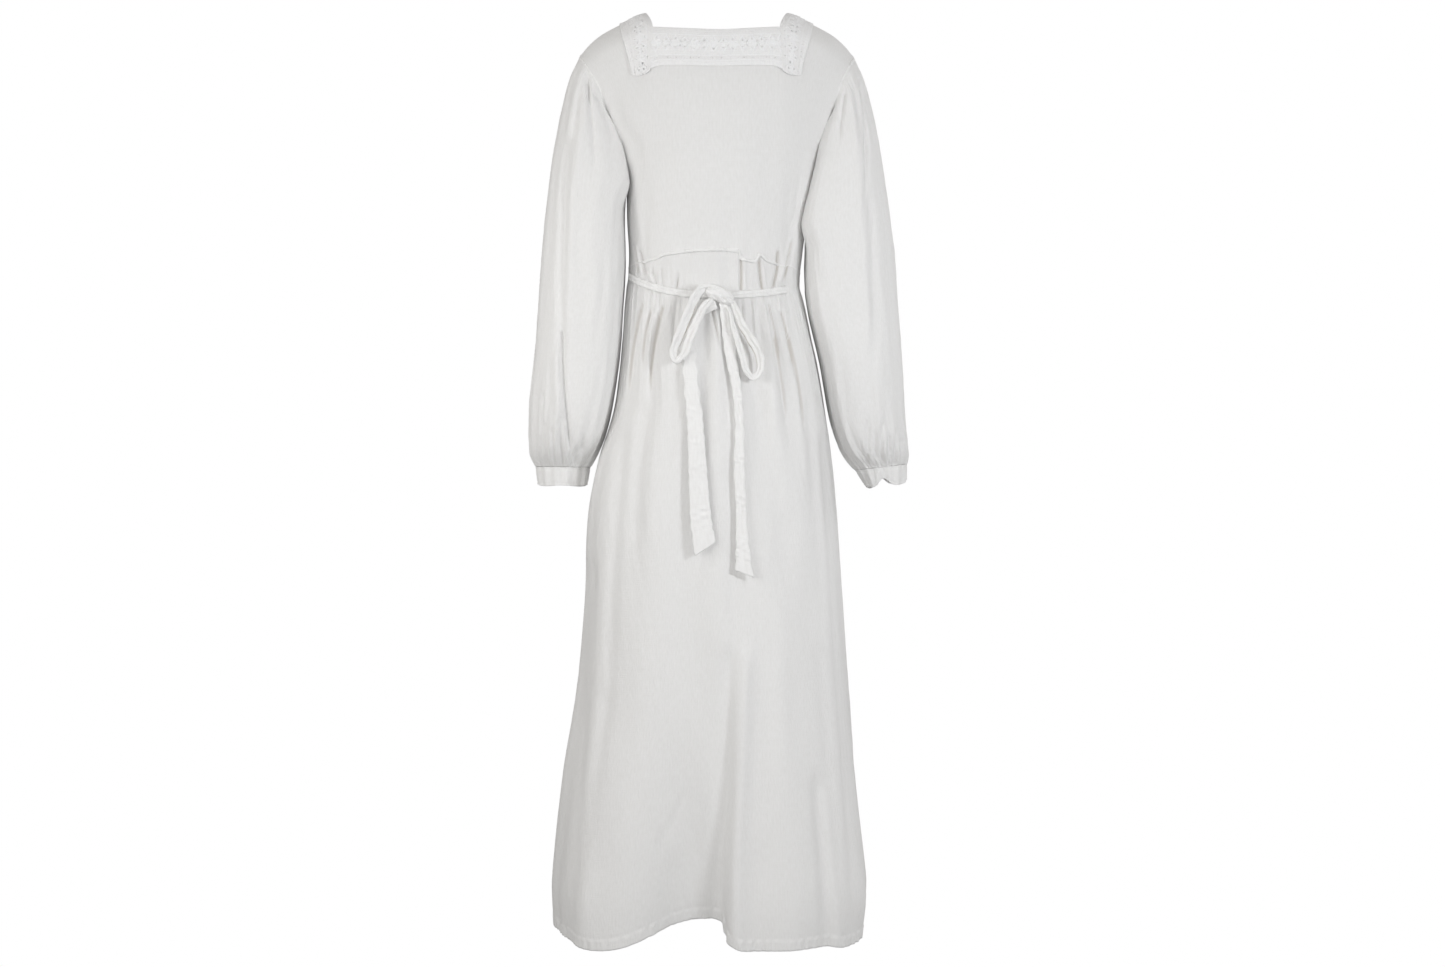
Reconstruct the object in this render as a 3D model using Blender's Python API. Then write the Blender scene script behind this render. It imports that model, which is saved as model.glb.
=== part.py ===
"""Maxi dress in white cotton gauze: long gathered sleeves, square lace collar, tie at the back.

The dress is filled out as if worn. Its front faces -Y and its back +Y, and the wearer's left is
+X. The origin lies midway between the two high points of the shoulder seams, where the wearer
holds the dress up. Every piece of cloth is a wall between an outer and an inner grid of points.
"""

import math
from collections import namedtuple

import bpy
import numpy as np

# Driving dimensions, in metres
CLOTH = 0.0016
LACE = 0.0016
TIE_THICKNESS = 0.0020
SEAM_GAP = 0.0003
HEM_LEVEL = -1.315
UNDERARM_LEVEL = -0.205
SHOULDER_ROUNDING = 0.050
NECK_HALF_WIDTH = 0.104
COLLAR_HALF_WIDTH = 0.1405
BACK_NECK_LEVEL = -0.0365
BACK_NECK_SAG = 0.0055
FRONT_NECK_LEVEL = -0.122
WAIST_LEVEL = -0.355
WAIST_DROP_LEFT = 0.017
WAIST_DROP_RIGHT = 0.025
TIE_LEVEL = -0.418
TIE_RISE_LEFT = 0.035
TIE_RISE_RIGHT = 0.018
TIE_HEIGHT = 0.011
KNOT_X = -0.0075
KNOT_SIZE = (0.023, 0.014, 0.025)
KNOT_SINK = 0.0012
CUFF_HEIGHT = 0.027

# The number of grid cells
HALF_COLUMNS = 12
NECK_COLUMN = 5
COLLAR_COLUMN = 7
ARMHOLE_ROWS = 14
BACK_NECK_ROW = 4
BACK_COLLAR_ROW = 7
FRONT_NECK_ROW = 8
FRONT_COLLAR_ROW = 11
BODICE_WAIST_SHARES = (0.12, 0.28, 0.46, 0.64, 0.82, 1.0)
TIE_SIDES = 8

# The armhole's edge leaves the side seam by this angle at the shoulder
ARMHOLE_SPAN_BACK = math.radians(32)
ARMHOLE_SPAN_FRONT = math.radians(34)

# Half widths to the wearer's left and right, depths to the back and front, and how square
# the body's outline is at each level below the shoulder
Section = namedtuple("Section", "level left right back front square")
BODY = (
    Section(0.000, 0.225, 0.226, 0.082, 0.078, 2.4),
    Section(-0.050, 0.2015, 0.2045, 0.096, 0.097, 2.4),
    Section(-0.100, 0.176, 0.184, 0.102, 0.112, 2.4),
    Section(-0.150, 0.158, 0.168, 0.104, 0.122, 2.4),
    Section(-0.205, 0.1395, 0.1535, 0.100, 0.127, 2.3),
    Section(-0.260, 0.131, 0.1415, 0.094, 0.122, 2.3),
    Section(-0.300, 0.1295, 0.1325, 0.088, 0.110, 2.2),
    Section(-0.350, 0.1265, 0.1245, 0.082, 0.097, 2.2),
    Section(-0.395, 0.1295, 0.1205, 0.079, 0.091, 2.2),
    Section(-0.430, 0.1335, 0.1280, 0.083, 0.092, 2.2),
    Section(-0.470, 0.1360, 0.1365, 0.097, 0.099, 2.2),
    Section(-0.520, 0.1403, 0.1475, 0.114, 0.107, 2.2),
    Section(-0.580, 0.1495, 0.1575, 0.127, 0.113, 2.2),
    Section(-0.640, 0.1690, 0.1665, 0.135, 0.118, 2.25),
    Section(-0.700, 0.1825, 0.1725, 0.140, 0.123, 2.3),
    Section(-0.850, 0.1905, 0.1830, 0.154, 0.140, 2.4),
    Section(-1.000, 0.2050, 0.1925, 0.172, 0.157, 2.5),
    Section(-1.100, 0.2215, 0.2000, 0.185, 0.168, 2.7),
    Section(-1.200, 0.2325, 0.2110, 0.197, 0.178, 2.9),
    Section(-1.260, 0.2370, 0.2165, 0.204, 0.184, 3.0),
    Section(-1.320, 0.2340, 0.2095, 0.207, 0.188, 3.0),
)

# How far the shoulder seam has fallen at each distance across
Slope = namedtuple("Slope", "across drop")
SHOULDER = (
    Slope(0.000, 0.000),
    Slope(0.090, 0.000),
    Slope(0.104, 0.001),
    Slope(0.128, 0.011),
    Slope(0.150, 0.021),
    Slope(0.175, 0.036),
    Slope(0.188, 0.048),
    Slope(0.200, 0.063),
    Slope(0.230, 0.105),
)

# Distances across of the neck opening and of the collar's outer edge
Edge = namedtuple("Edge", "level neck collar")
BACK_EDGES = (
    Edge(0.000, NECK_HALF_WIDTH, COLLAR_HALF_WIDTH),
    Edge(-0.034, 0.0905, 0.1345),
    Edge(-0.070, 0.0915, 0.1260),
    Edge(-0.105, 0.0930, 0.1185),
    Edge(-0.205, 0.0850, 0.1050),
)
FRONT_EDGES = (
    Edge(0.000, NECK_HALF_WIDTH, COLLAR_HALF_WIDTH),
    Edge(-0.060, 0.0930, 0.1310),
    Edge(-0.122, 0.0860, 0.1240),
    Edge(-0.183, 0.0870, 0.1180),
    Edge(-0.205, 0.0850, 0.1130),
)

# Levels of the skirt's rows below the tie, and the size of the gathers, of the soft folds and
# of the deep hollow at the back at each of them
Fall = namedtuple("Fall", "level gather fold hollow")
SKIRT = (
    Fall(-0.300, 0.0000, 0.0000, 0.000),
    Fall(-0.350, 0.0007, 0.0000, 0.000),
    Fall(-0.400, 0.0009, 0.0000, 0.000),
    Fall(-0.430, 0.0012, 0.0000, 0.000),
    Fall(-0.460, 0.0026, 0.0008, 0.000),
    Fall(-0.500, 0.0030, 0.0014, 0.000),
    Fall(-0.550, 0.0026, 0.0020, 0.000),
    Fall(-0.610, 0.0018, 0.0022, 0.000),
    Fall(-0.680, 0.0009, 0.0022, 0.000),
    Fall(-0.760, 0.0003, 0.0020, 0.001),
    Fall(-0.850, 0.0000, 0.0018, 0.004),
    Fall(-0.940, 0.0000, 0.0020, 0.010),
    Fall(-1.030, 0.0000, 0.0024, 0.018),
    Fall(-1.110, 0.0000, 0.0028, 0.029),
    Fall(-1.180, 0.0000, 0.0032, 0.042),
    Fall(-1.240, 0.0000, 0.0035, 0.056),
    Fall(-1.285, 0.0000, 0.0037, 0.067),
    Fall(HEM_LEVEL, 0.0000, 0.0038, 0.074),
)
SKIRT_FIRST_ROW = 4

# The hem's hollows: where each lies round the body, its reach to both sides in degrees, how
# deep it is as a share of the deepest, and how far the hem rises in it
Hollow = namedtuple("Hollow", "angle reach_left reach_right share rise")
HOLLOWS = (
    Hollow(4.0, 22.5, 9.0, 1.00, 0.033),
    Hollow(35.0, 12.0, 12.0, -0.08, -0.005),
    Hollow(-36.0, 8.0, 7.0, 0.08, 0.000),
    Hollow(-52.0, 9.0, 9.0, -0.06, -0.005),
    Hollow(62.0, 10.0, 12.0, 0.12, 0.000),
    Hollow(158.0, 13.0, 15.0, 0.42, 0.004),
    Hollow(-150.0, 14.0, 12.0, 0.32, 0.003),
)

# Each sleeve's outer and inner edge as seen from the back, from the armhole to the cuff, with
# the middle and the half depth of its section and the size of its gathers
Cut = namedtuple("Cut", "share outer_x outer_z inner_x inner_z middle_y half_depth gather")
LEFT_SLEEVE = (
    Cut(0.00, 0.2000, -0.0630, 0.1395, -0.2050, 0.000, 0.054, 0.0000),
    Cut(0.05, 0.2125, -0.0920, 0.1415, -0.2120, 0.002, 0.059, 0.0014),
    Cut(0.12, 0.2225, -0.1320, 0.1385, -0.2290, 0.004, 0.063, 0.0018),
    Cut(0.20, 0.2335, -0.1850, 0.1345, -0.2600, 0.006, 0.067, 0.0012),
    Cut(0.30, 0.2435, -0.2550, 0.1338, -0.3060, 0.009, 0.069, 0.0006),
    Cut(0.42, 0.2525, -0.3400, 0.1325, -0.3700, 0.012, 0.069, 0.0004),
    Cut(0.54, 0.2580, -0.4200, 0.1365, -0.4350, 0.014, 0.068, 0.0004),
    Cut(0.66, 0.2640, -0.5000, 0.1420, -0.5050, 0.013, 0.066, 0.0006),
    Cut(0.78, 0.2710, -0.5750, 0.1530, -0.5750, 0.010, 0.064, 0.0010),
    Cut(0.87, 0.2715, -0.6180, 0.1640, -0.6150, 0.006, 0.058, 0.0016),
    Cut(0.94, 0.2690, -0.6400, 0.1740, -0.6370, 0.003, 0.048, 0.0020),
    Cut(1.00, 0.2625, -0.6570, 0.1850, -0.6580, 0.000, 0.031, 0.0010),
)
RIGHT_SLEEVE = (
    Cut(0.00, 0.2005, -0.0630, 0.1535, -0.2050, 0.000, 0.054, 0.0000),
    Cut(0.05, 0.2125, -0.0920, 0.1555, -0.2110, 0.002, 0.059, 0.0014),
    Cut(0.12, 0.2235, -0.1320, 0.1530, -0.2260, 0.003, 0.063, 0.0018),
    Cut(0.20, 0.2350, -0.1850, 0.1465, -0.2520, 0.004, 0.067, 0.0012),
    Cut(0.30, 0.2465, -0.2550, 0.1362, -0.2960, 0.004, 0.069, 0.0006),
    Cut(0.42, 0.2585, -0.3400, 0.1290, -0.3520, 0.002, 0.070, 0.0004),
    Cut(0.54, 0.2640, -0.4200, 0.1315, -0.4200, -0.002, 0.069, 0.0004),
    Cut(0.66, 0.2705, -0.5000, 0.1500, -0.5010, -0.008, 0.066, 0.0006),
    Cut(0.78, 0.2755, -0.5750, 0.1640, -0.5750, -0.016, 0.063, 0.0010),
    Cut(0.87, 0.2785, -0.6180, 0.1765, -0.6170, -0.021, 0.057, 0.0016),
    Cut(0.94, 0.2800, -0.6380, 0.1885, -0.6420, -0.024, 0.047, 0.0020),
    Cut(1.00, 0.2790, -0.6530, 0.2050, -0.6620, -0.026, 0.030, 0.0010),
)
SLEEVE_SHARES = (
    0.025, 0.06, 0.11, 0.17, 0.25, 0.34, 0.44, 0.54, 0.64, 0.73, 0.81, 0.875, 0.925, 0.965, 1.0,
)
CUFF_NARROWING = 0.92
ARMHOLE_FADE = 0.30

# Centre lines of the two loops and the two ends of the tie: distance across, level, distance
# off the skirt, and width
Turn = namedtuple("Turn", "x z off width")
LEFT_LOOP = (
    Turn(0.0048, -0.4135, 0.0115, 0.008),
    Turn(0.0105, -0.4098, 0.0140, 0.010),
    Turn(0.0180, -0.4092, 0.0165, 0.012),
    Turn(0.0290, -0.4170, 0.0185, 0.014),
    Turn(0.0385, -0.4350, 0.0190, 0.015),
    Turn(0.0485, -0.4600, 0.0180, 0.015),
    Turn(0.0580, -0.4860, 0.0165, 0.014),
    Turn(0.0610, -0.5030, 0.0155, 0.012),
    Turn(0.0560, -0.5120, 0.0150, 0.010),
    Turn(0.0465, -0.5060, 0.0150, 0.011),
    Turn(0.0355, -0.4840, 0.0150, 0.013),
    Turn(0.0240, -0.4580, 0.0150, 0.012),
    Turn(0.0135, -0.4370, 0.0135, 0.010),
    Turn(0.0056, -0.4240, 0.0115, 0.008),
)
RIGHT_LOOP = (
    Turn(-0.0209, -0.4236, 0.0114, 0.007),
    Turn(-0.0240, -0.4305, 0.0138, 0.009),
    Turn(-0.0290, -0.4420, 0.0158, 0.011),
    Turn(-0.0345, -0.4570, 0.0172, 0.012),
    Turn(-0.0440, -0.4740, 0.0175, 0.013),
    Turn(-0.0550, -0.4920, 0.0170, 0.013),
    Turn(-0.0618, -0.5130, 0.0160, 0.012),
    Turn(-0.0585, -0.5300, 0.0150, 0.011),
    Turn(-0.0505, -0.5350, 0.0145, 0.010),
    Turn(-0.0430, -0.5265, 0.0145, 0.010),
    Turn(-0.0370, -0.5060, 0.0145, 0.011),
    Turn(-0.0300, -0.4830, 0.0143, 0.010),
    Turn(-0.0230, -0.4600, 0.0142, 0.008),
    Turn(-0.0198, -0.4440, 0.0138, 0.006),
    Turn(-0.0168, -0.4350, 0.0134, 0.005),
)
LEFT_END = (
    Turn(-0.0002, -0.4314, 0.0096, 0.006),
    Turn(0.0090, -0.4352, 0.0074, 0.009),
    Turn(0.0220, -0.4400, 0.0060, 0.012),
    Turn(0.0320, -0.4540, 0.0056, 0.014),
    Turn(0.0365, -0.4790, 0.0054, 0.017),
    Turn(0.0370, -0.5120, 0.0056, 0.019),
    Turn(0.0355, -0.5400, 0.0060, 0.020),
    Turn(0.0300, -0.5890, 0.0066, 0.022),
    Turn(0.0270, -0.6380, 0.0072, 0.024),
    Turn(0.0240, -0.6930, 0.0078, 0.027),
    Turn(0.0200, -0.7410, 0.0084, 0.030),
    Turn(0.0150, -0.7720, 0.0090, 0.031),
)
RIGHT_END = (
    Turn(-0.0100, -0.4306, 0.0108, 0.006),
    Turn(-0.0130, -0.4420, 0.0072, 0.010),
    Turn(-0.0170, -0.4620, 0.0060, 0.012),
    Turn(-0.0230, -0.5000, 0.0056, 0.014),
    Turn(-0.0285, -0.5400, 0.0060, 0.014),
    Turn(-0.0320, -0.5960, 0.0066, 0.015),
    Turn(-0.0310, -0.6580, 0.0072, 0.016),
    Turn(-0.0335, -0.7200, 0.0078, 0.017),
    Turn(-0.0365, -0.7680, 0.0084, 0.020),
    Turn(-0.0390, -0.8060, 0.0090, 0.023),
)

# Colours and roughness
GAUZE_COLOUR = (0.84, 0.84, 0.83)
LACE_COLOUR = (0.90, 0.90, 0.89)
CLOTH_ROUGHNESS = 0.92

# Steps for slopes, and the direction in which a cell's highest corner is found
ANGLE_STEP = math.radians(0.3)
TURN_STEP = 0.01
CUT_DIRECTION = np.array([0.62, 0.27, 1.0])


def read(table, name, at):
    """Read a named column of a table at some values of its first, by a smooth curve."""
    rows = np.array(table, float)
    values = rows[:, table[0]._fields.index(name)]
    knots = rows[:, 0]
    if knots[0] > knots[-1]:
        knots, values = knots[::-1], values[::-1]
    slopes = np.gradient(values, knots)
    at = np.clip(at, knots[0], knots[-1])
    cell = np.clip(np.searchsorted(knots, at, side="right") - 1, 0, len(knots) - 2)
    step = knots[cell + 1] - knots[cell]
    part = (at - knots[cell]) / step
    return (
        (1 + 2 * part) * (1 - part) ** 2 * values[cell]
        + part * (1 - part) ** 2 * step * slopes[cell]
        + part**2 * (3 - 2 * part) * values[cell + 1]
        - part**2 * (1 - part) * step * slopes[cell + 1]
    )


def unit(vectors):
    """Scale vectors to length one."""
    return vectors / np.maximum(np.linalg.norm(vectors, axis=-1, keepdims=True), 1e-12)


def smooth_step(value):
    """Rise smoothly from 0 to 1 as the value does."""
    value = np.clip(value, 0.0, 1.0)
    return value**2 * (3 - 2 * value)


def level_of(turn):
    """Level reached after a turn over the shoulder, where 1 is its whole quarter circle."""
    quarter = math.pi / 2
    round_part = -SHOULDER_ROUNDING * (1 - np.cos(np.clip(turn, 0, 1) * quarter))
    return round_part - SHOULDER_ROUNDING * quarter * np.maximum(turn - 1, 0)


def turn_of(level):
    """Turn over the shoulder that reaches a level."""
    quarter = math.pi / 2
    depth = np.maximum(-level, 0)
    round_part = np.arccos(np.clip(1 - depth / SHOULDER_ROUNDING, -1, 1)) / quarter
    straight = 1 + (depth - SHOULDER_ROUNDING) / (SHOULDER_ROUNDING * quarter)
    return np.where(depth < SHOULDER_ROUNDING, round_part, straight)


def around(angle, centre):
    """Angle from a centre, between minus and plus half a turn."""
    return (angle - centre + math.pi) % (2 * math.pi) - math.pi


def hollow_shape(angle, hollow):
    """Share of one hem hollow's depth, a bell with its own reach on each side."""
    offset = around(angle, math.radians(hollow.angle))
    reach = np.where(offset > 0, math.radians(hollow.reach_left), math.radians(hollow.reach_right))
    return np.exp(-((offset / reach) ** 2) ** 1.5)


def fold_height(angle, level):
    """Height of the gathers and folds of the cloth above the plain form."""
    calm = 0.35 + 0.65 * np.cos(angle) ** 2
    uneven = 1 + 0.35 * np.cos(3 * angle + 0.8)
    gathers = read(SKIRT, "gather", level) * np.cos(2 * HALF_COLUMNS * angle) * uneven * calm
    soft = read(SKIRT, "fold", level) * np.cos(HALF_COLUMNS * angle + 0.6 * np.sin(2 * angle) + 0.7)
    height = gathers + soft * calm
    deepest = read(SKIRT, "hollow", level)
    for hollow in HOLLOWS:
        height = height - deepest * hollow.share * hollow_shape(angle, hollow)
    return height


def body_surface(angle, turn, folds=True):
    """Point of the body's outer face at an angle from the back and a turn down the shoulder.

    Each level is a superellipse, whose depths grow over the rounded shoulder. The levels
    slope down along the shoulder seam, and lie flat again at the underarm.
    """
    level = level_of(turn)
    square = read(BODY, "square", level)
    sine, cosine = np.sin(angle), np.cos(angle)
    reach = (np.abs(sine) ** square + np.abs(cosine) ** square) ** (-1 / square)
    half = np.where(sine > 0, read(BODY, "left", level), read(BODY, "right", level))
    depth = np.where(cosine > 0, read(BODY, "back", level), read(BODY, "front", level))
    depth = depth * np.sin(np.clip(turn, 0, 1) * math.pi / 2)
    height = fold_height(angle, level) if folds else 0.0
    x = (half * reach + height) * sine
    y = (depth * reach + height) * cosine
    share = np.clip(level / UNDERARM_LEVEL, 0, 1)
    slope = read(SHOULDER, "drop", np.abs(x)) * (1 - share) ** 2 * (1 + 2 * share)
    return np.stack([x, y, level - slope], axis=-1)


def surface_normals(surface, first, second, step_one, step_two, low=None):
    """Outward normals of a surface by its slopes along its two parameters."""
    before = second - step_two if low is None else np.maximum(second - step_two, low)
    along = surface(first + step_one, second) - surface(first - step_one, second)
    down = surface(first, second + step_two) - surface(first, before)
    return unit(np.cross(along, down))


def body_normals(angle, turn):
    """Outward normals of the body's outer face."""
    return surface_normals(body_surface, angle, turn, ANGLE_STEP, TURN_STEP, low=0.0)


def angle_across(distance, level, left=True):
    """Angle from the back or front at which the body's face is this far across."""
    half = read(BODY, "left" if left else "right", level)
    square = read(BODY, "square", level)
    share = np.clip(distance / half, 0, 1)
    return np.arctan2(share, (1 - share**square) ** (1 / square))


def armhole_angle(level, span):
    """Angle of the armhole's edge from the back or front, a quarter turn at the underarm."""
    share = np.clip(level / UNDERARM_LEVEL, 0, 1)
    return math.pi / 2 - span * (1 - share**1.3) ** 0.625


def waist_level(angle):
    """Level of the waist seam, which arches up at the centre."""
    drop = np.where(np.sin(angle) > 0, WAIST_DROP_LEFT, WAIST_DROP_RIGHT)
    return WAIST_LEVEL - drop * np.sin(angle) ** 2


def tie_level(angle):
    """Level of the middle of the tie, which droops from the side seams to the knot."""
    rise = np.where(np.sin(angle) > 0, TIE_RISE_LEFT, TIE_RISE_RIGHT)
    return TIE_LEVEL + rise * np.abs(np.sin(angle)) ** 2.4


def blend_index(size, centre, reach):
    """Weights that fall from 1 at a row to 0 at the rows a reach away."""
    return np.clip(1 - np.abs(np.arange(size) - centre) / reach, 0, 1)


def bodice_parameters(back):
    """Angles from the middle and turns of a bodice panel's grid, as two arrays."""
    edges = BACK_EDGES if back else FRONT_EDGES
    span = ARMHOLE_SPAN_BACK if back else ARMHOLE_SPAN_FRONT
    neck_row = BACK_NECK_ROW if back else FRONT_NECK_ROW
    neck_level = BACK_NECK_LEVEL if back else FRONT_NECK_LEVEL
    column = np.arange(-HALF_COLUMNS, HALF_COLUMNS + 1)
    share = np.abs(column) / HALF_COLUMNS
    rows = np.arange(ARMHOLE_ROWS + 1)
    armhole = UNDERARM_LEVEL * (1 - np.cos(math.pi * rows / ARMHOLE_ROWS)) / 2
    waist = waist_level(math.radians(90) * column / HALF_COLUMNS)
    below = [
        UNDERARM_LEVEL + (waist - UNDERARM_LEVEL) * part for part in BODICE_WAIST_SHARES
    ]
    level = np.vstack([np.repeat(armhole[:, None], len(column), axis=1), below])
    inside = np.clip(1 - (share - NECK_COLUMN / HALF_COLUMNS) / 0.25, 0, 1)
    weight = blend_index(len(level), neck_row, neck_row)[:, None] * inside[None, :]
    sag = BACK_NECK_SAG if back else 0.0
    dip = sag * np.clip(1 - (column / NECK_COLUMN) ** 2, 0, 1)
    level = level + weight * (neck_level - armhole[neck_row] - dip[None, :])
    angles = np.empty_like(level)
    for left in (True, False):
        side = (column >= 0) if left else (column < 0)
        at = level[:, side]
        part = share[side][None, :]
        neck = angle_across(read(edges, "neck", at), at, left)
        collar = angle_across(read(edges, "collar", at), at, left)
        edge = armhole_angle(at, span)
        neck_share = NECK_COLUMN / HALF_COLUMNS
        collar_share = COLLAR_COLUMN / HALF_COLUMNS
        near = neck * part / neck_share
        strip = neck + (collar - neck) * (part - neck_share) / (collar_share - neck_share)
        far = collar + (edge - collar) * (part - collar_share) / (1 - collar_share)
        placed = np.where(part <= neck_share, near, np.where(part <= collar_share, strip, far))
        even = part * math.pi / 2
        collar_row = BACK_COLLAR_ROW if back else FRONT_COLLAR_ROW
        row = np.arange(len(level))[:, None]
        ease = smooth_step((row - collar_row) / (len(level) - 1 - collar_row))
        angles[:, side] = placed + (even - placed) * ease
    angles = angles * np.where(column < 0, -1, 1)[None, :]
    return angles, turn_of(level)


def to_body_angle(angle, back):
    """Turn an angle from the middle of a panel into one round the body."""
    return angle if back else math.pi - angle


class Wall:
    """Two grids of points, the outer and the inner face of one piece of cloth."""

    def __init__(self, outer, normals, thickness=CLOTH, lift=0.0):
        self.guide = outer
        self.outer = outer + normals * lift
        self.inner = self.outer - normals * thickness
        self.normals = normals

    def trim(self, edge, amount=SEAM_GAP / 2):
        """Draw one edge of both faces in towards the next row or column of points."""
        for grid in (self.outer, self.inner):
            if edge == "top":
                grid[0] += unit(grid[1] - grid[0]) * amount
            elif edge == "bottom":
                grid[-1] += unit(grid[-2] - grid[-1]) * amount
            elif edge == "start":
                grid[:, 0] += unit(grid[:, 1] - grid[:, 0]) * amount
            elif edge == "end":
                grid[:, -1] += unit(grid[:, -2] - grid[:, -1]) * amount
        return self


def grid_faces(guide, closed, kept):
    """Two triangles for each kept cell of a grid, facing out.

    A cell is cut from its highest corner, so that cloth lying on other cloth bends as it does.
    """
    columns = guide.shape[1]
    row, column = np.nonzero(kept)
    following = (column + 1) % columns if closed else column + 1
    corners = np.stack(
        [
            row * columns + column,
            row * columns + following,
            (row + 1) * columns + following,
            (row + 1) * columns + column,
        ],
        axis=1,
    )
    height = guide.reshape(-1, 3)[corners] @ CUT_DIRECTION
    start = np.argmax(height, axis=1)[:, None]
    turned = np.take_along_axis(corners, (start + np.arange(4)) % 4, axis=1)
    return np.vstack([turned[:, [0, 1, 2]], turned[:, [0, 2, 3]]])


def make_wall(name, wall, material, kept=None, closed=False, flip=False):
    """Make one closed solid of a wall's two faces and the rims between them."""
    rows, columns = wall.outer.shape[:2]
    cells = columns if closed else columns - 1
    if kept is None:
        kept = np.ones((rows - 1, cells), bool)
    outer = grid_faces(wall.guide, closed, kept)
    if flip:
        outer = outer[:, ::-1]
    count = rows * columns
    starts = outer.ravel()
    ends = np.roll(outer, -1, axis=1).ravel()
    lonely = ~np.isin(starts * count + ends, ends * count + starts)
    first, second = starts[lonely], ends[lonely]
    rims = np.vstack(
        [
            np.stack([second, first, first + count], axis=1),
            np.stack([second, first + count, second + count], axis=1),
        ]
    )
    faces = np.vstack([outer, outer[:, ::-1] + count, rims])
    points = np.vstack([wall.outer.reshape(-1, 3), wall.inner.reshape(-1, 3)])
    used, renumbered = np.unique(faces, return_inverse=True)
    return make_object(name, points[used], renumbered.reshape(faces.shape).tolist(), material)


def make_object(name, points, faces, material):
    """Put points and faces into a new object of the dress."""
    mesh = bpy.data.meshes.new(name)
    mesh.from_pydata([tuple(point) for point in points], [], faces)
    mesh.materials.append(material)
    mesh.shade_smooth()
    made = bpy.data.objects.new(name, mesh)
    bpy.data.collections["maxi_dress"].objects.link(made)
    return made


def make_material(name, colour):
    """Make a plain cloth material."""
    material = bpy.data.materials.new(name)
    material.use_nodes = True
    shader = material.node_tree.nodes["Principled BSDF"]
    shader.inputs["Base Color"].default_value = (*colour, 1.0)
    shader.inputs["Roughness"].default_value = CLOTH_ROUGHNESS
    shader.inputs["Metallic"].default_value = 0.0
    return material


def bodice_faces(back):
    """Points and normals of a bodice panel's grid, with its columns from right to left."""
    angle, turn = bodice_parameters(back)
    angle = to_body_angle(angle, back)
    return body_surface(angle, turn), body_normals(angle, turn)


def armhole_ring(left):
    """Points and body normals round an armhole, from the shoulder down the back and up."""
    column = -1 if left else 0
    rows = ARMHOLE_ROWS + 1
    parts = []
    for back in (True, False):
        points, normals = bodice_faces(back)
        parts.append((points[:rows, column], normals[:rows, column]))
    (back_points, back_normals), (front_points, front_normals) = parts
    points = np.vstack([back_points, front_points[-2:0:-1]])
    normals = np.vstack([back_normals, front_normals[-2:0:-1]])
    return points, normals


def sleeve_surface(left):
    """Function that gives a sleeve's outer face by the angle round it and the share along.

    A section is an ellipse between the sleeve's outer and inner edge, and near the armhole
    it eases into the armhole's own ring.
    """
    table = LEFT_SLEEVE if left else RIGHT_SLEEVE
    side = 1.0 if left else -1.0
    ring, _ = armhole_ring(left)
    ring_angles = 2 * math.pi * np.arange(len(ring) + 1) / len(ring)
    ring = np.vstack([ring, ring[:1]])

    def ellipse(angle, share):
        outer = [side * read(table, "outer_x", share), read(table, "outer_z", share)]
        inner = [side * read(table, "inner_x", share), read(table, "inner_z", share)]
        swing = np.cos(angle)
        x = (outer[0] + inner[0]) / 2 + swing * (outer[0] - inner[0]) / 2
        z = (outer[1] + inner[1]) / 2 + swing * (outer[1] - inner[1]) / 2
        y = read(table, "middle_y", share) + read(table, "half_depth", share) * np.sin(angle)
        return np.stack([x, y, z], axis=-1)

    def surface(angle, share):
        angle = angle + 0 * share
        share = share + 0 * angle
        points = ellipse(angle, share)
        wrapped = angle % (2 * math.pi)
        at_armhole = np.stack(
            [np.interp(wrapped, ring_angles, ring[:, axis]) for axis in range(3)], axis=-1
        )
        ease = 1 - smooth_step(share / ARMHOLE_FADE)
        points = points + (at_armhole - ellipse(angle, 0 * share)) * ease[..., None]
        middle = (ellipse(angle, share) + ellipse(angle + math.pi, share)) / 2
        head = np.where(share < 0.5, np.cos(angle / 2) ** 2, 1.0)
        count = ARMHOLE_ROWS
        height = read(table, "gather", share) * np.cos(count * angle) * head
        return points + unit(points - middle) * height[..., None]

    return surface


def sleeve_faces(left):
    """Points and normals of a sleeve's grid, a closed ring for each share along it."""
    surface = sleeve_surface(left)
    count = 2 * ARMHOLE_ROWS
    angles = 2 * math.pi * np.arange(count) / count
    shares = np.array((0.0,) + SLEEVE_SHARES)
    angle, share = np.meshgrid(angles, shares)
    points = surface(angle, share)
    normals = surface_normals(surface, angle, share, math.radians(2), 0.004, low=0.0)
    if not left:
        normals = -normals
    outward = np.sum(normals * (points - points.mean(axis=1, keepdims=True)), axis=-1)
    normals = normals * np.where(outward.mean() > 0, 1, -1)
    return points, normals


def shared_normals(one, other):
    """Bring the normals at a seam together, except where the cloth folds back on itself."""
    agree = smooth_step((np.sum(one * other, axis=-1, keepdims=True) + 0.3) / 0.6)
    return unit(one + other * agree)


def make_bodice(material):
    """Make the back and front bodice, each with its neck cut out."""
    for back in (True, False):
        points, normals = bodice_faces(back)
        rows = ARMHOLE_ROWS + 1
        for left in (True, False):
            column = -1 if left else 0
            _, sleeve_normals = sleeve_faces(left)
            ring = sleeve_normals[0]
            half = ring[:rows] if back else np.vstack([ring[:1], ring[:-rows:-1]])
            normals[:rows, column] = shared_normals(normals[:rows, column], half)
        wall = Wall(points, normals)
        wall.trim("top").trim("bottom").trim("start").trim("end")
        kept = np.ones((points.shape[0] - 1, points.shape[1] - 1), bool)
        neck_row = BACK_NECK_ROW if back else FRONT_NECK_ROW
        kept[:neck_row, HALF_COLUMNS - NECK_COLUMN : HALF_COLUMNS + NECK_COLUMN] = False
        name = "back_bodice" if back else "front_bodice"
        make_wall(name, wall, material, kept, flip=not back)


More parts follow.
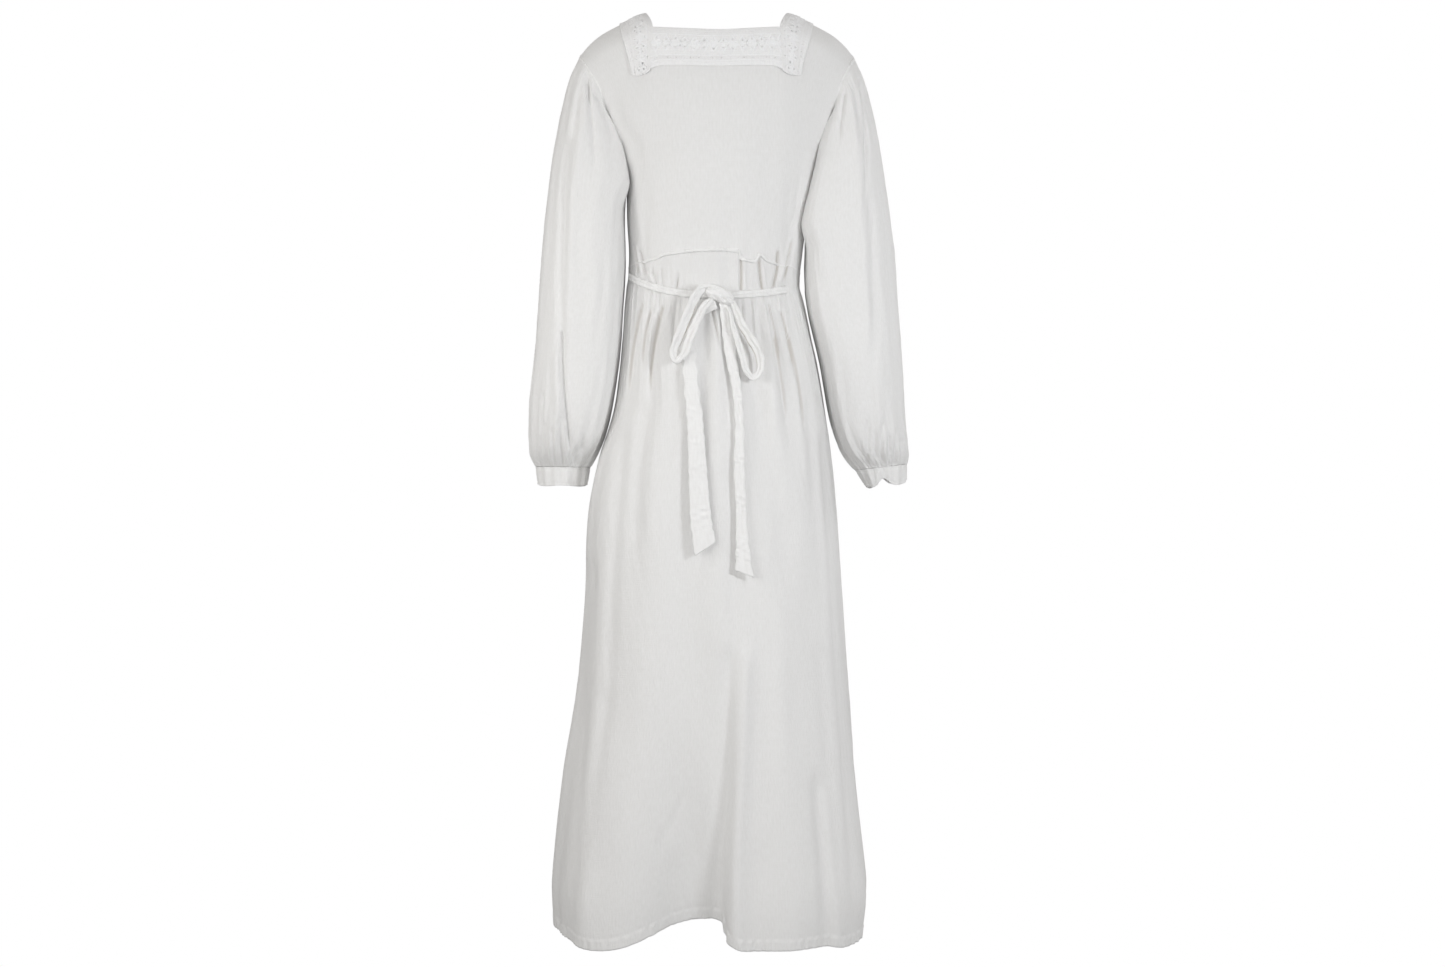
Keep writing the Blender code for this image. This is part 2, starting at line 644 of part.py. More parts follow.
def skirt_faces(back):
    """Points and normals of a skirt panel's grid, from the waist seam to the hem."""
    column = np.arange(-HALF_COLUMNS, HALF_COLUMNS + 1)
    angle = to_body_angle(math.radians(90) * column / HALF_COLUMNS, back)
    tie = tie_level(angle)
    waist = waist_level(angle)
    levels = [waist, tie + TIE_HEIGHT / 2, tie - TIE_HEIGHT / 2]
    rise = sum(hollow.rise * hollow_shape(angle, hollow) for hollow in HOLLOWS)
    for fall in SKIRT[SKIRT_FIRST_ROW:]:
        near_hem = smooth_step((fall.level + 1.0) / (HEM_LEVEL + 1.0))
        levels.append(fall.level + rise * near_hem)
    level = np.stack(levels)
    angle = np.repeat(angle[None, :], len(level), axis=0)
    turn = turn_of(level)
    return body_surface(angle, turn), body_normals(angle, turn)


def make_skirt(material):
    """Make the back and front skirt."""
    for back in (True, False):
        points, normals = skirt_faces(back)
        wall = Wall(points, normals)
        wall.trim("top").trim("start").trim("end")
        make_wall("back_skirt" if back else "front_skirt", wall, material, flip=not back)


def make_sleeves(material):
    """Make both sleeves, each one tube, and the cuffs below them."""
    for left in (True, False):
        label = "left" if left else "right"
        points, normals = sleeve_faces(left)
        _, body_side = armhole_ring(left)
        normals[0] = shared_normals(normals[0], body_side)
        cuff_points, cuff_normals = cuff_faces(points[-1], points[-2])
        normals[-1] = unit(normals[-1] + cuff_normals[0])
        cuff_normals[0] = normals[-1]
        sleeve = Wall(points, normals).trim("top", SEAM_GAP).trim("bottom")
        make_wall(f"sleeve_{label}", sleeve, material, closed=True, flip=left)
        cuff = Wall(cuff_points, cuff_normals).trim("top", SEAM_GAP)
        make_wall(f"cuff_{label}", cuff, material, closed=True, flip=left)


def cuff_faces(ring, ring_above):
    """Points and normals of a cuff that hangs from a sleeve's last ring."""
    centre = ring.mean(axis=0)
    axis = unit(centre - ring_above.mean(axis=0))
    axis = unit(axis * 0.25 + np.array([0, 0, -0.75]))
    points = []
    for part, width in ((0, 1), (0.5, (1 + CUFF_NARROWING) / 2), (1, CUFF_NARROWING)):
        points.append(centre + (ring - centre) * width + axis * CUFF_HEIGHT * part)
    points = np.stack(points)
    following = np.roll(points, -1, axis=1) - np.roll(points, 1, axis=1)
    normals = unit(np.cross(following, axis))
    outward = np.sum(normals * (points - points.mean(axis=1, keepdims=True)))
    return points, normals * np.sign(outward)


def collar_wall(points, normals):
    """Wall of lace that lies on the bodice's own points."""
    return Wall(points, normals, thickness=LACE, lift=SEAM_GAP + LACE)


def make_collar(material):
    """Make the four strips of the square collar, on the bodice's own points."""
    faces = {back: bodice_faces(back) for back in (True, False)}
    rows = {True: (BACK_NECK_ROW, BACK_COLLAR_ROW), False: (FRONT_NECK_ROW, FRONT_COLLAR_ROW)}
    middle = slice(HALF_COLUMNS - NECK_COLUMN, HALF_COLUMNS + NECK_COLUMN + 1)
    for back, name in ((True, "collar_back"), (False, "collar_front")):
        points, normals = faces[back]
        span = slice(rows[back][0], rows[back][1] + 1)
        wall = collar_wall(points[span, middle], normals[span, middle])
        wall.trim("start").trim("end")
        make_wall(name, wall, material, flip=not back)
    strips = {
        "left": slice(HALF_COLUMNS + NECK_COLUMN, HALF_COLUMNS + COLLAR_COLUMN + 1),
        "right": slice(HALF_COLUMNS - COLLAR_COLUMN, HALF_COLUMNS - NECK_COLUMN + 1),
    }
    for label, columns in strips.items():
        strip = []
        for kind in (0, 1):
            back_part = faces[True][kind][: rows[True][1] + 1, columns]
            front_part = faces[False][kind][1 : rows[False][1] + 1, columns]
            strip.append(np.concatenate([front_part[::-1], back_part]))
        wall = collar_wall(*strip)
        wall.trim("start" if label == "left" else "end")
        make_wall(f"collar_{label}", wall, material)


def column_at(points, x):
    """Column of a grid at a distance across, between its own columns along their chords."""
    across = points[:, :, 0].mean(axis=0)
    after = int(np.clip(np.searchsorted(across, x), 1, len(across) - 1))
    part = (x - across[after - 1]) / (across[after] - across[after - 1])
    return points[:, after - 1] * (1 - part) + points[:, after] * part


def make_tie_bands(material):
    """Make the tie's two bands, which lie on the skirt's points and meet behind the knot."""
    points, normals = skirt_faces(True)
    band, band_normals = points[1:3], normals[1:3]
    across = band[:, :, 0].mean(axis=0)
    for left in (True, False):
        stop = KNOT_X
        beyond = across > stop + KNOT_SIZE[0] / 4 if left else across < stop - KNOT_SIZE[0] / 4
        last = column_at(band, stop)[:, None]
        last_normals = unit(column_at(np.concatenate([band, band_normals], axis=-1), stop)[:, 3:])
        if left:
            outer = np.concatenate([last, band[:, beyond]], axis=1)
            around_it = np.concatenate([last_normals[:, None], band_normals[:, beyond]], axis=1)
        else:
            outer = np.concatenate([band[:, beyond], last], axis=1)
            around_it = np.concatenate([band_normals[:, beyond], last_normals[:, None]], axis=1)
        wall = Wall(outer, around_it, TIE_THICKNESS, SEAM_GAP + TIE_THICKNESS)
        wall.trim("start").trim("end")
        make_wall(f"tie_band_{'left' if left else 'right'}", wall, material)


def skirt_depth(x, z):
    """How far back the skirt's plain form lies at a place across and a level."""
    back, square = read(BODY, "back", z), read(BODY, "square", z)
    half = np.where(x > 0, read(BODY, "left", z), read(BODY, "right", z))
    return back * (1 - np.abs(x / half) ** square) ** (1 / square)


def smooth_path(points, count):
    """Read evenly spaced points from a smooth curve through a path's own points."""
    lengths = np.concatenate([[0], np.cumsum(np.linalg.norm(np.diff(points, axis=0), axis=1))])
    slopes = np.gradient(points, lengths, axis=0)
    at = np.linspace(0, lengths[-1], count)
    cell = np.clip(np.searchsorted(lengths, at, side="right") - 1, 0, len(lengths) - 2)
    step = (lengths[cell + 1] - lengths[cell])[:, None]
    part = ((at - lengths[cell]) / step[:, 0])[:, None]
    return (
        (1 + 2 * part) * (1 - part) ** 2 * points[cell]
        + part * (1 - part) ** 2 * step * slopes[cell]
        + part**2 * (3 - 2 * part) * points[cell + 1]
        - part**2 * (1 - part) * step * slopes[cell + 1]
    )


def make_strap(name, table, stations, thickness, tilt, material):
    """Make a flat soft strap with an oval section along a path off the skirt's back."""
    rows = np.array(table, float)
    depth = skirt_depth(rows[:, 0], rows[:, 1]) + rows[:, 2]
    path = np.stack([rows[:, 0], depth, rows[:, 1], rows[:, 3]], axis=1)
    path = smooth_path(path, stations)
    centre, width = path[:, :3], path[:, 3]
    forward = unit(np.gradient(centre, axis=0))
    across = unit(np.cross(forward, np.array([0.0, 1.0, 0.0])))
    out = unit(np.cross(across, forward))
    across, out = across * math.cos(tilt) + out * math.sin(tilt), out
    out = unit(np.cross(across, forward))
    around_it = 2 * math.pi * (np.arange(TIE_SIDES) + 0.5) / TIE_SIDES
    swing = (width / 2)[:, None, None] * across[:, None] * np.cos(around_it)[None, :, None]
    swell = thickness / 2 * out[:, None] * np.sin(around_it)[None, :, None]
    points = (centre[:, None] + swing + swell).reshape(-1, 3)
    faces = []
    for station in range(stations - 1):
        for side in range(TIE_SIDES):
            following = (side + 1) % TIE_SIDES
            low, high = station * TIE_SIDES, (station + 1) * TIE_SIDES
            faces.append((low + side, high + side, high + following, low + following))
    faces.append(tuple(range(TIE_SIDES)))
    last = (stations - 1) * TIE_SIDES
    faces.append(tuple(range(last, last + TIE_SIDES))[::-1])
    return make_object(name, points, faces, material)


def make_knot(material):
    """Make the knot, a flattened ball that sits on the two bands of the tie."""
    bpy.ops.mesh.primitive_uv_sphere_add(segments=14, ring_count=9, radius=0.5)
    knot = bpy.context.object
    knot.name = "bow_knot"
    points = np.array([vertex.co for vertex in knot.data.vertices])
    points = np.sign(points) * np.abs(points * 2) ** 0.8 / 2
    points = points * np.array(KNOT_SIZE)
    band = skirt_faces(True)[0][1:3].reshape(-1, 3)
    behind = band[np.abs(band[:, 0] - KNOT_X) < KNOT_SIZE[0] / 2]
    lift = 2 * SEAM_GAP + TIE_THICKNESS + KNOT_SIZE[1] / 2 - KNOT_SINK
    place = np.array([KNOT_X, behind[:, 1].max() + lift, TIE_LEVEL])
    for vertex, point in zip(knot.data.vertices, points + place):
        vertex.co = point
    knot.data.materials.append(material)
    knot.data.shade_smooth()
    for holder in list(knot.users_collection):
        holder.objects.unlink(knot)
    bpy.data.collections["maxi_dress"].objects.link(knot)


def make_bow(material):
    """Make the knot, the two loops and the two free ends of the tie."""
    make_knot(material)
    make_strap("bow_loop_left", LEFT_LOOP, 26, 0.0036, 0.5, material)
    make_strap("bow_loop_right", RIGHT_LOOP, 26, 0.0036, -0.5, material)
    make_strap("tie_end_left", LEFT_END, 20, 0.0026, 0.0, material)
    make_strap("tie_end_right", RIGHT_END, 16, 0.0026, 0.0, material)


def clear_scene():
    """Remove whatever the file opens with."""
    for item in list(bpy.data.objects):
        bpy.data.objects.remove(item, do_unlink=True)


def main():
    clear_scene()
    collection = bpy.data.collections.new("maxi_dress")
    bpy.context.scene.collection.children.link(collection)
    gauze = make_material("gauze", GAUZE_COLOUR)
    lace = make_material("lace", LACE_COLOUR)
    make_bodice(gauze)
    make_skirt(gauze)
    make_sleeves(gauze)
    make_collar(lace)
    make_tie_bands(gauze)
    make_bow(gauze)


main()
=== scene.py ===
"""Looks of a white crinkled gauze maxi dress, laid out as a Blender add-on.

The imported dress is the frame. Every piece of it is made again here as a thin shell on its solid's
own form, with finer folds, sewing, crochet lace and a gauze material. All sizes are in metres.
Its front faces -Y, its back +Y, and the wearer's left is +X.
"""

import math
from collections import namedtuple

import bpy
import numpy as np
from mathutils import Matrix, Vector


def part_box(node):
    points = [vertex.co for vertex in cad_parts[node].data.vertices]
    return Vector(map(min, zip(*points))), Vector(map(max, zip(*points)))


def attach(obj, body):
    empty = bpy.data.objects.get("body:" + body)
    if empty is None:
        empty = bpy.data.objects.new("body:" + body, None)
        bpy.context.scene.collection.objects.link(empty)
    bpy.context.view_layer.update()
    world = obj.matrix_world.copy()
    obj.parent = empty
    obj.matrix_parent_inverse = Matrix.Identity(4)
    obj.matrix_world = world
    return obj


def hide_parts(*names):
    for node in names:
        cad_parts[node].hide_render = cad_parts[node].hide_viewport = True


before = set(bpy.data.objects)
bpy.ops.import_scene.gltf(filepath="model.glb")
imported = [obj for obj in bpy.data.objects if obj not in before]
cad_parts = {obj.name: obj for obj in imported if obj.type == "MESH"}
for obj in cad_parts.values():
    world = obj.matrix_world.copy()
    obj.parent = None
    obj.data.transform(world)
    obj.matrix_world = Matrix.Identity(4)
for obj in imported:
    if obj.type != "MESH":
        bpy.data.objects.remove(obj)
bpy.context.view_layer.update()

bl_info = {
    "name": "Gauze Maxi Dress",
    "version": (1, 0, 0),
    "blender": (4, 5, 0),
    "location": "View3D > Sidebar > Dress",
    "description": "Makes a worn gauze dress with a lace collar and a tie bowed at the back",
    "category": "Add Mesh",
}


def rows_of(kind, *rows):
    """Give every row of a table its columns' names."""
    return tuple(kind(*row) for row in rows)


# Driving dimensions of the dress, as in its solids
HEM_LEVEL = -1.315
UNDERARM_LEVEL = -0.205
SHOULDER_ROUNDING = 0.050
NECK_HALF_WIDTH = 0.104
COLLAR_HALF_WIDTH = 0.1405
BACK_NECK_LEVEL = -0.0365
BACK_NECK_SAG = 0.0055
FRONT_NECK_LEVEL = -0.122
WAIST_LEVEL = -0.3505
WAIST_DROP_LEFT = 0.017
WAIST_DROP_RIGHT = 0.025
TIE_LEVEL = -0.4145
TIE_RISE_LEFT = 0.035
TIE_RISE_RIGHT = 0.018
TIE_HEIGHT = 0.011
KNOT_X = -0.0075
CUFF_HEIGHT = 0.027

# The solids' grid, on which the pieces meet
HALF_COLUMNS = 12
NECK_COLUMN = 5
COLLAR_COLUMN = 7
ARMHOLE_ROWS = 14
BACK_NECK_ROW = 4
BACK_COLLAR_ROW = 7
FRONT_NECK_ROW = 8
FRONT_COLLAR_ROW = 11
BODICE_WAIST_SHARES = (0.0, 0.12, 0.28, 0.46, 0.64, 0.82, 1.0)
ARMHOLE_SPAN_BACK = math.radians(32)
ARMHOLE_SPAN_FRONT = math.radians(34)
CUFF_NARROWING = 0.92
ARMHOLE_FADE = 0.30
ANGLE_STEP = math.radians(0.3)
TURN_STEP = 0.01

# Half widths and depths of the body at each level below the shoulder, and how square it is
Section = namedtuple("Section", "level left right back front square")
BODY = rows_of(
    Section,
    (0.000, 0.225, 0.226, 0.082, 0.078, 2.4),
    (-0.050, 0.2015, 0.2045, 0.096, 0.097, 2.4),
    (-0.100, 0.176, 0.184, 0.102, 0.112, 2.4),
    (-0.150, 0.158, 0.168, 0.104, 0.122, 2.4),
    (-0.205, 0.1395, 0.1535, 0.100, 0.127, 2.3),
    (-0.260, 0.131, 0.1415, 0.094, 0.122, 2.3),
    (-0.300, 0.1295, 0.1325, 0.088, 0.110, 2.2),
    (-0.350, 0.1265, 0.1245, 0.082, 0.097, 2.2),
    (-0.395, 0.1295, 0.1205, 0.079, 0.091, 2.2),
    (-0.430, 0.1335, 0.1280, 0.083, 0.092, 2.2),
    (-0.470, 0.1360, 0.1365, 0.097, 0.099, 2.2),
    (-0.520, 0.1403, 0.1475, 0.114, 0.107, 2.2),
    (-0.580, 0.1495, 0.1575, 0.127, 0.113, 2.2),
    (-0.640, 0.1690, 0.1665, 0.135, 0.118, 2.25),
    (-0.700, 0.1825, 0.1725, 0.140, 0.123, 2.3),
    (-0.850, 0.1905, 0.1830, 0.154, 0.140, 2.4),
    (-1.000, 0.2050, 0.1925, 0.172, 0.157, 2.5),
    (-1.100, 0.2215, 0.2000, 0.185, 0.168, 2.7),
    (-1.200, 0.2325, 0.2110, 0.197, 0.178, 2.9),
    (-1.260, 0.2370, 0.2165, 0.204, 0.184, 3.0),
    (-1.320, 0.2340, 0.2095, 0.207, 0.188, 3.0),
)

# How far the shoulder seam has fallen at each distance across
Slope = namedtuple("Slope", "across drop")
SHOULDER = rows_of(
    Slope,
    (0.000, 0.000),
    (0.090, 0.000),
    (0.104, 0.001),
    (0.128, 0.011),
    (0.150, 0.021),
    (0.175, 0.036),
    (0.188, 0.048),
    (0.200, 0.063),
    (0.230, 0.105),
)

# Distances across of the neck opening and of the collar's outer edge
Edge = namedtuple("Edge", "level neck collar")
BACK_EDGES = rows_of(
    Edge,
    (0.000, NECK_HALF_WIDTH, COLLAR_HALF_WIDTH),
    (-0.034, 0.0905, 0.1345),
    (-0.070, 0.0915, 0.1260),
    (-0.105, 0.0930, 0.1185),
    (-0.205, 0.0850, 0.1050),
)
FRONT_EDGES = rows_of(
    Edge,
    (0.000, NECK_HALF_WIDTH, COLLAR_HALF_WIDTH),
    (-0.060, 0.0930, 0.1310),
    (-0.122, 0.0860, 0.1240),
    (-0.183, 0.0870, 0.1180),
    (-0.205, 0.0850, 0.1130),
)

# Sizes of the gathers, of the soft folds and of the deep hollow at each level
Fall = namedtuple("Fall", "level gather fold hollow")
SKIRT = rows_of(
    Fall,
    (-0.300, 0.0000, 0.0000, 0.000),
    (-0.350, 0.0007, 0.0000, 0.000),
    (-0.400, 0.0009, 0.0000, 0.000),
    (-0.430, 0.0012, 0.0000, 0.000),
    (-0.460, 0.0026, 0.0008, 0.000),
    (-0.500, 0.0030, 0.0014, 0.000),
    (-0.550, 0.0026, 0.0020, 0.000),
    (-0.610, 0.0018, 0.0022, 0.000),
    (-0.680, 0.0009, 0.0022, 0.000),
    (-0.760, 0.0003, 0.0020, 0.001),
    (-0.850, 0.0000, 0.0018, 0.004),
    (-0.940, 0.0000, 0.0020, 0.010),
    (-1.030, 0.0000, 0.0024, 0.018),
    (-1.110, 0.0000, 0.0028, 0.029),
    (-1.180, 0.0000, 0.0032, 0.042),
    (-1.240, 0.0000, 0.0035, 0.056),
    (-1.285, 0.0000, 0.0037, 0.067),
    (HEM_LEVEL, 0.0000, 0.0038, 0.074),
)

# Where the skirt's own rows start in its table, and from which level the hem's rise counts
SKIRT_FIRST_ROW = 4
HEM_RISE_FROM = -1.0

# The hem's hollows: place round the body, reach to both sides in degrees, share and rise
Hollow = namedtuple("Hollow", "angle reach_left reach_right share rise")
HOLLOWS = rows_of(
    Hollow,
    (4.0, 22.5, 9.0, 0.78, 0.033),
    (35.0, 12.0, 12.0, -0.08, -0.005),
    (-36.0, 8.0, 7.0, 0.08, 0.000),
    (-52.0, 9.0, 9.0, -0.06, -0.005),
    (62.0, 10.0, 12.0, 0.12, 0.000),
    (158.0, 13.0, 15.0, 0.42, 0.004),
    (-150.0, 14.0, 12.0, 0.32, 0.003),
)

# Each sleeve's outer and inner edge, its middle and half depth, and its gathers
Cut = namedtuple("Cut", "share outer_x outer_z inner_x inner_z middle_y half_depth gather")
LEFT_SLEEVE = rows_of(
    Cut,
    (0.00, 0.2000, -0.0630, 0.1395, -0.2050, 0.000, 0.054, 0.0000),
    (0.05, 0.2125, -0.0920, 0.1415, -0.2120, 0.002, 0.059, 0.0014),
    (0.12, 0.2225, -0.1320, 0.1385, -0.2290, 0.004, 0.063, 0.0018),
    (0.20, 0.2335, -0.1850, 0.1345, -0.2600, 0.006, 0.067, 0.0012),
    (0.30, 0.2435, -0.2550, 0.1338, -0.3060, 0.009, 0.069, 0.0006),
    (0.42, 0.2525, -0.3400, 0.1325, -0.3700, 0.012, 0.069, 0.0004),
    (0.54, 0.2580, -0.4200, 0.1365, -0.4350, 0.014, 0.068, 0.0004),
    (0.66, 0.2640, -0.5000, 0.1420, -0.5050, 0.013, 0.066, 0.0006),
    (0.78, 0.2710, -0.5750, 0.1530, -0.5750, 0.010, 0.064, 0.0010),
    (0.87, 0.2715, -0.6180, 0.1640, -0.6150, 0.006, 0.058, 0.0016),
    (0.94, 0.2690, -0.6400, 0.1740, -0.6370, 0.003, 0.048, 0.0020),
    (1.00, 0.2625, -0.6570, 0.1850, -0.6580, 0.000, 0.031, 0.0010),
)
RIGHT_SLEEVE = rows_of(
    Cut,
    (0.00, 0.2005, -0.0630, 0.1535, -0.2050, 0.000, 0.054, 0.0000),
    (0.05, 0.2125, -0.0920, 0.1555, -0.2110, 0.002, 0.059, 0.0014),
    (0.12, 0.2235, -0.1320, 0.1530, -0.2260, 0.003, 0.063, 0.0018),
    (0.20, 0.2350, -0.1850, 0.1465, -0.2520, 0.004, 0.067, 0.0012),
    (0.30, 0.2465, -0.2550, 0.1362, -0.2960, 0.004, 0.069, 0.0006),
    (0.42, 0.2585, -0.3400, 0.1290, -0.3520, 0.002, 0.070, 0.0004),
    (0.54, 0.2640, -0.4200, 0.1315, -0.4200, -0.002, 0.069, 0.0004),
    (0.66, 0.2705, -0.5000, 0.1500, -0.5010, -0.008, 0.066, 0.0006),
    (0.78, 0.2755, -0.5750, 0.1640, -0.5750, -0.016, 0.063, 0.0010),
    (0.87, 0.2785, -0.6180, 0.1765, -0.6170, -0.021, 0.057, 0.0016),
    (0.94, 0.2800, -0.6380, 0.1885, -0.6420, -0.024, 0.047, 0.0020),
    (1.00, 0.2790, -0.6530, 0.2050, -0.6620, -0.026, 0.030, 0.0010),
)

# Centre lines of the tie's loops and ends: distance across, level, distance off the skirt, width
Turn = namedtuple("Turn", "x z off width")
LEFT_LOOP = rows_of(
    Turn,
    (0.0048, -0.4105, 0.0115, 0.008),
    (0.0105, -0.4060, 0.0150, 0.011),
    (0.0180, -0.4062, 0.0175, 0.013),
    (0.0275, -0.4160, 0.0190, 0.014),
    (0.0360, -0.4340, 0.0190, 0.015),
    (0.0460, -0.4590, 0.0180, 0.015),
    (0.0555, -0.4840, 0.0165, 0.014),
    (0.0600, -0.5000, 0.0155, 0.012),
    (0.0560, -0.5095, 0.0150, 0.010),
    (0.0475, -0.5030, 0.0150, 0.012),
    (0.0385, -0.4810, 0.0150, 0.014),
    (0.0285, -0.4550, 0.0150, 0.014),
    (0.0170, -0.4320, 0.0140, 0.012),
    (0.0060, -0.4210, 0.0115, 0.009),
)
RIGHT_LOOP = rows_of(
    Turn,
    (-0.0209, -0.4224, 0.0114, 0.007),
    (-0.0240, -0.4293, 0.0138, 0.009),
    (-0.0290, -0.4408, 0.0158, 0.011),
    (-0.0345, -0.4558, 0.0172, 0.012),
    (-0.0440, -0.4728, 0.0175, 0.013),
    (-0.0550, -0.4908, 0.0170, 0.013),
    (-0.0618, -0.5118, 0.0160, 0.012),
    (-0.0585, -0.5288, 0.0150, 0.011),
    (-0.0505, -0.5338, 0.0145, 0.010),
    (-0.0430, -0.5253, 0.0145, 0.010),
    (-0.0370, -0.5048, 0.0145, 0.011),
    (-0.0300, -0.4818, 0.0143, 0.010),
    (-0.0230, -0.4588, 0.0142, 0.008),
    (-0.0198, -0.4428, 0.0138, 0.006),
    (-0.0168, -0.4338, 0.0134, 0.005),
)
LEFT_END = rows_of(
    Turn,
    (-0.0002, -0.4294, 0.0110, 0.013),
    (0.0090, -0.4322, 0.0100, 0.014),
    (0.0220, -0.4400, 0.0060, 0.012),
    (0.0320, -0.4540, 0.0056, 0.014),
    (0.0365, -0.4790, 0.0054, 0.017),
    (0.0370, -0.5120, 0.0056, 0.019),
    (0.0355, -0.5400, 0.0060, 0.020),
    (0.0300, -0.5890, 0.0066, 0.022),
    (0.0270, -0.6380, 0.0072, 0.024),
    (0.0240, -0.6930, 0.0078, 0.027),
    (0.0200, -0.7410, 0.0084, 0.030),
    (0.0150, -0.7720, 0.0090, 0.031),
)
RIGHT_END = rows_of(
    Turn,
    (-0.0085, -0.4260, 0.0110, 0.011),
    (-0.0128, -0.4400, 0.0080, 0.015),
    (-0.0155, -0.4620, 0.0070, 0.016),
    (-0.0200, -0.5000, 0.0066, 0.016),
    (-0.0270, -0.5400, 0.0064, 0.013),
    (-0.0320, -0.5960, 0.0066, 0.012),
    (-0.0318, -0.6580, 0.0072, 0.015),
    (-0.0342, -0.7200, 0.0078, 0.014),
    (-0.0362, -0.7680, 0.0084, 0.018),
    (-0.0390, -0.8060, 0.0090, 0.024),
)

# Puckers of the back waist seam: place round the body in degrees, reach, drop
Pucker = namedtuple("Pucker", "angle reach drop")
WAIST_PUCKERS = rows_of(
    Pucker,
    (-21.6, 6.2, 0.0112),
    (-44.0, 12.0, 0.0060),
    (47.0, 9.0, 0.0030),
)

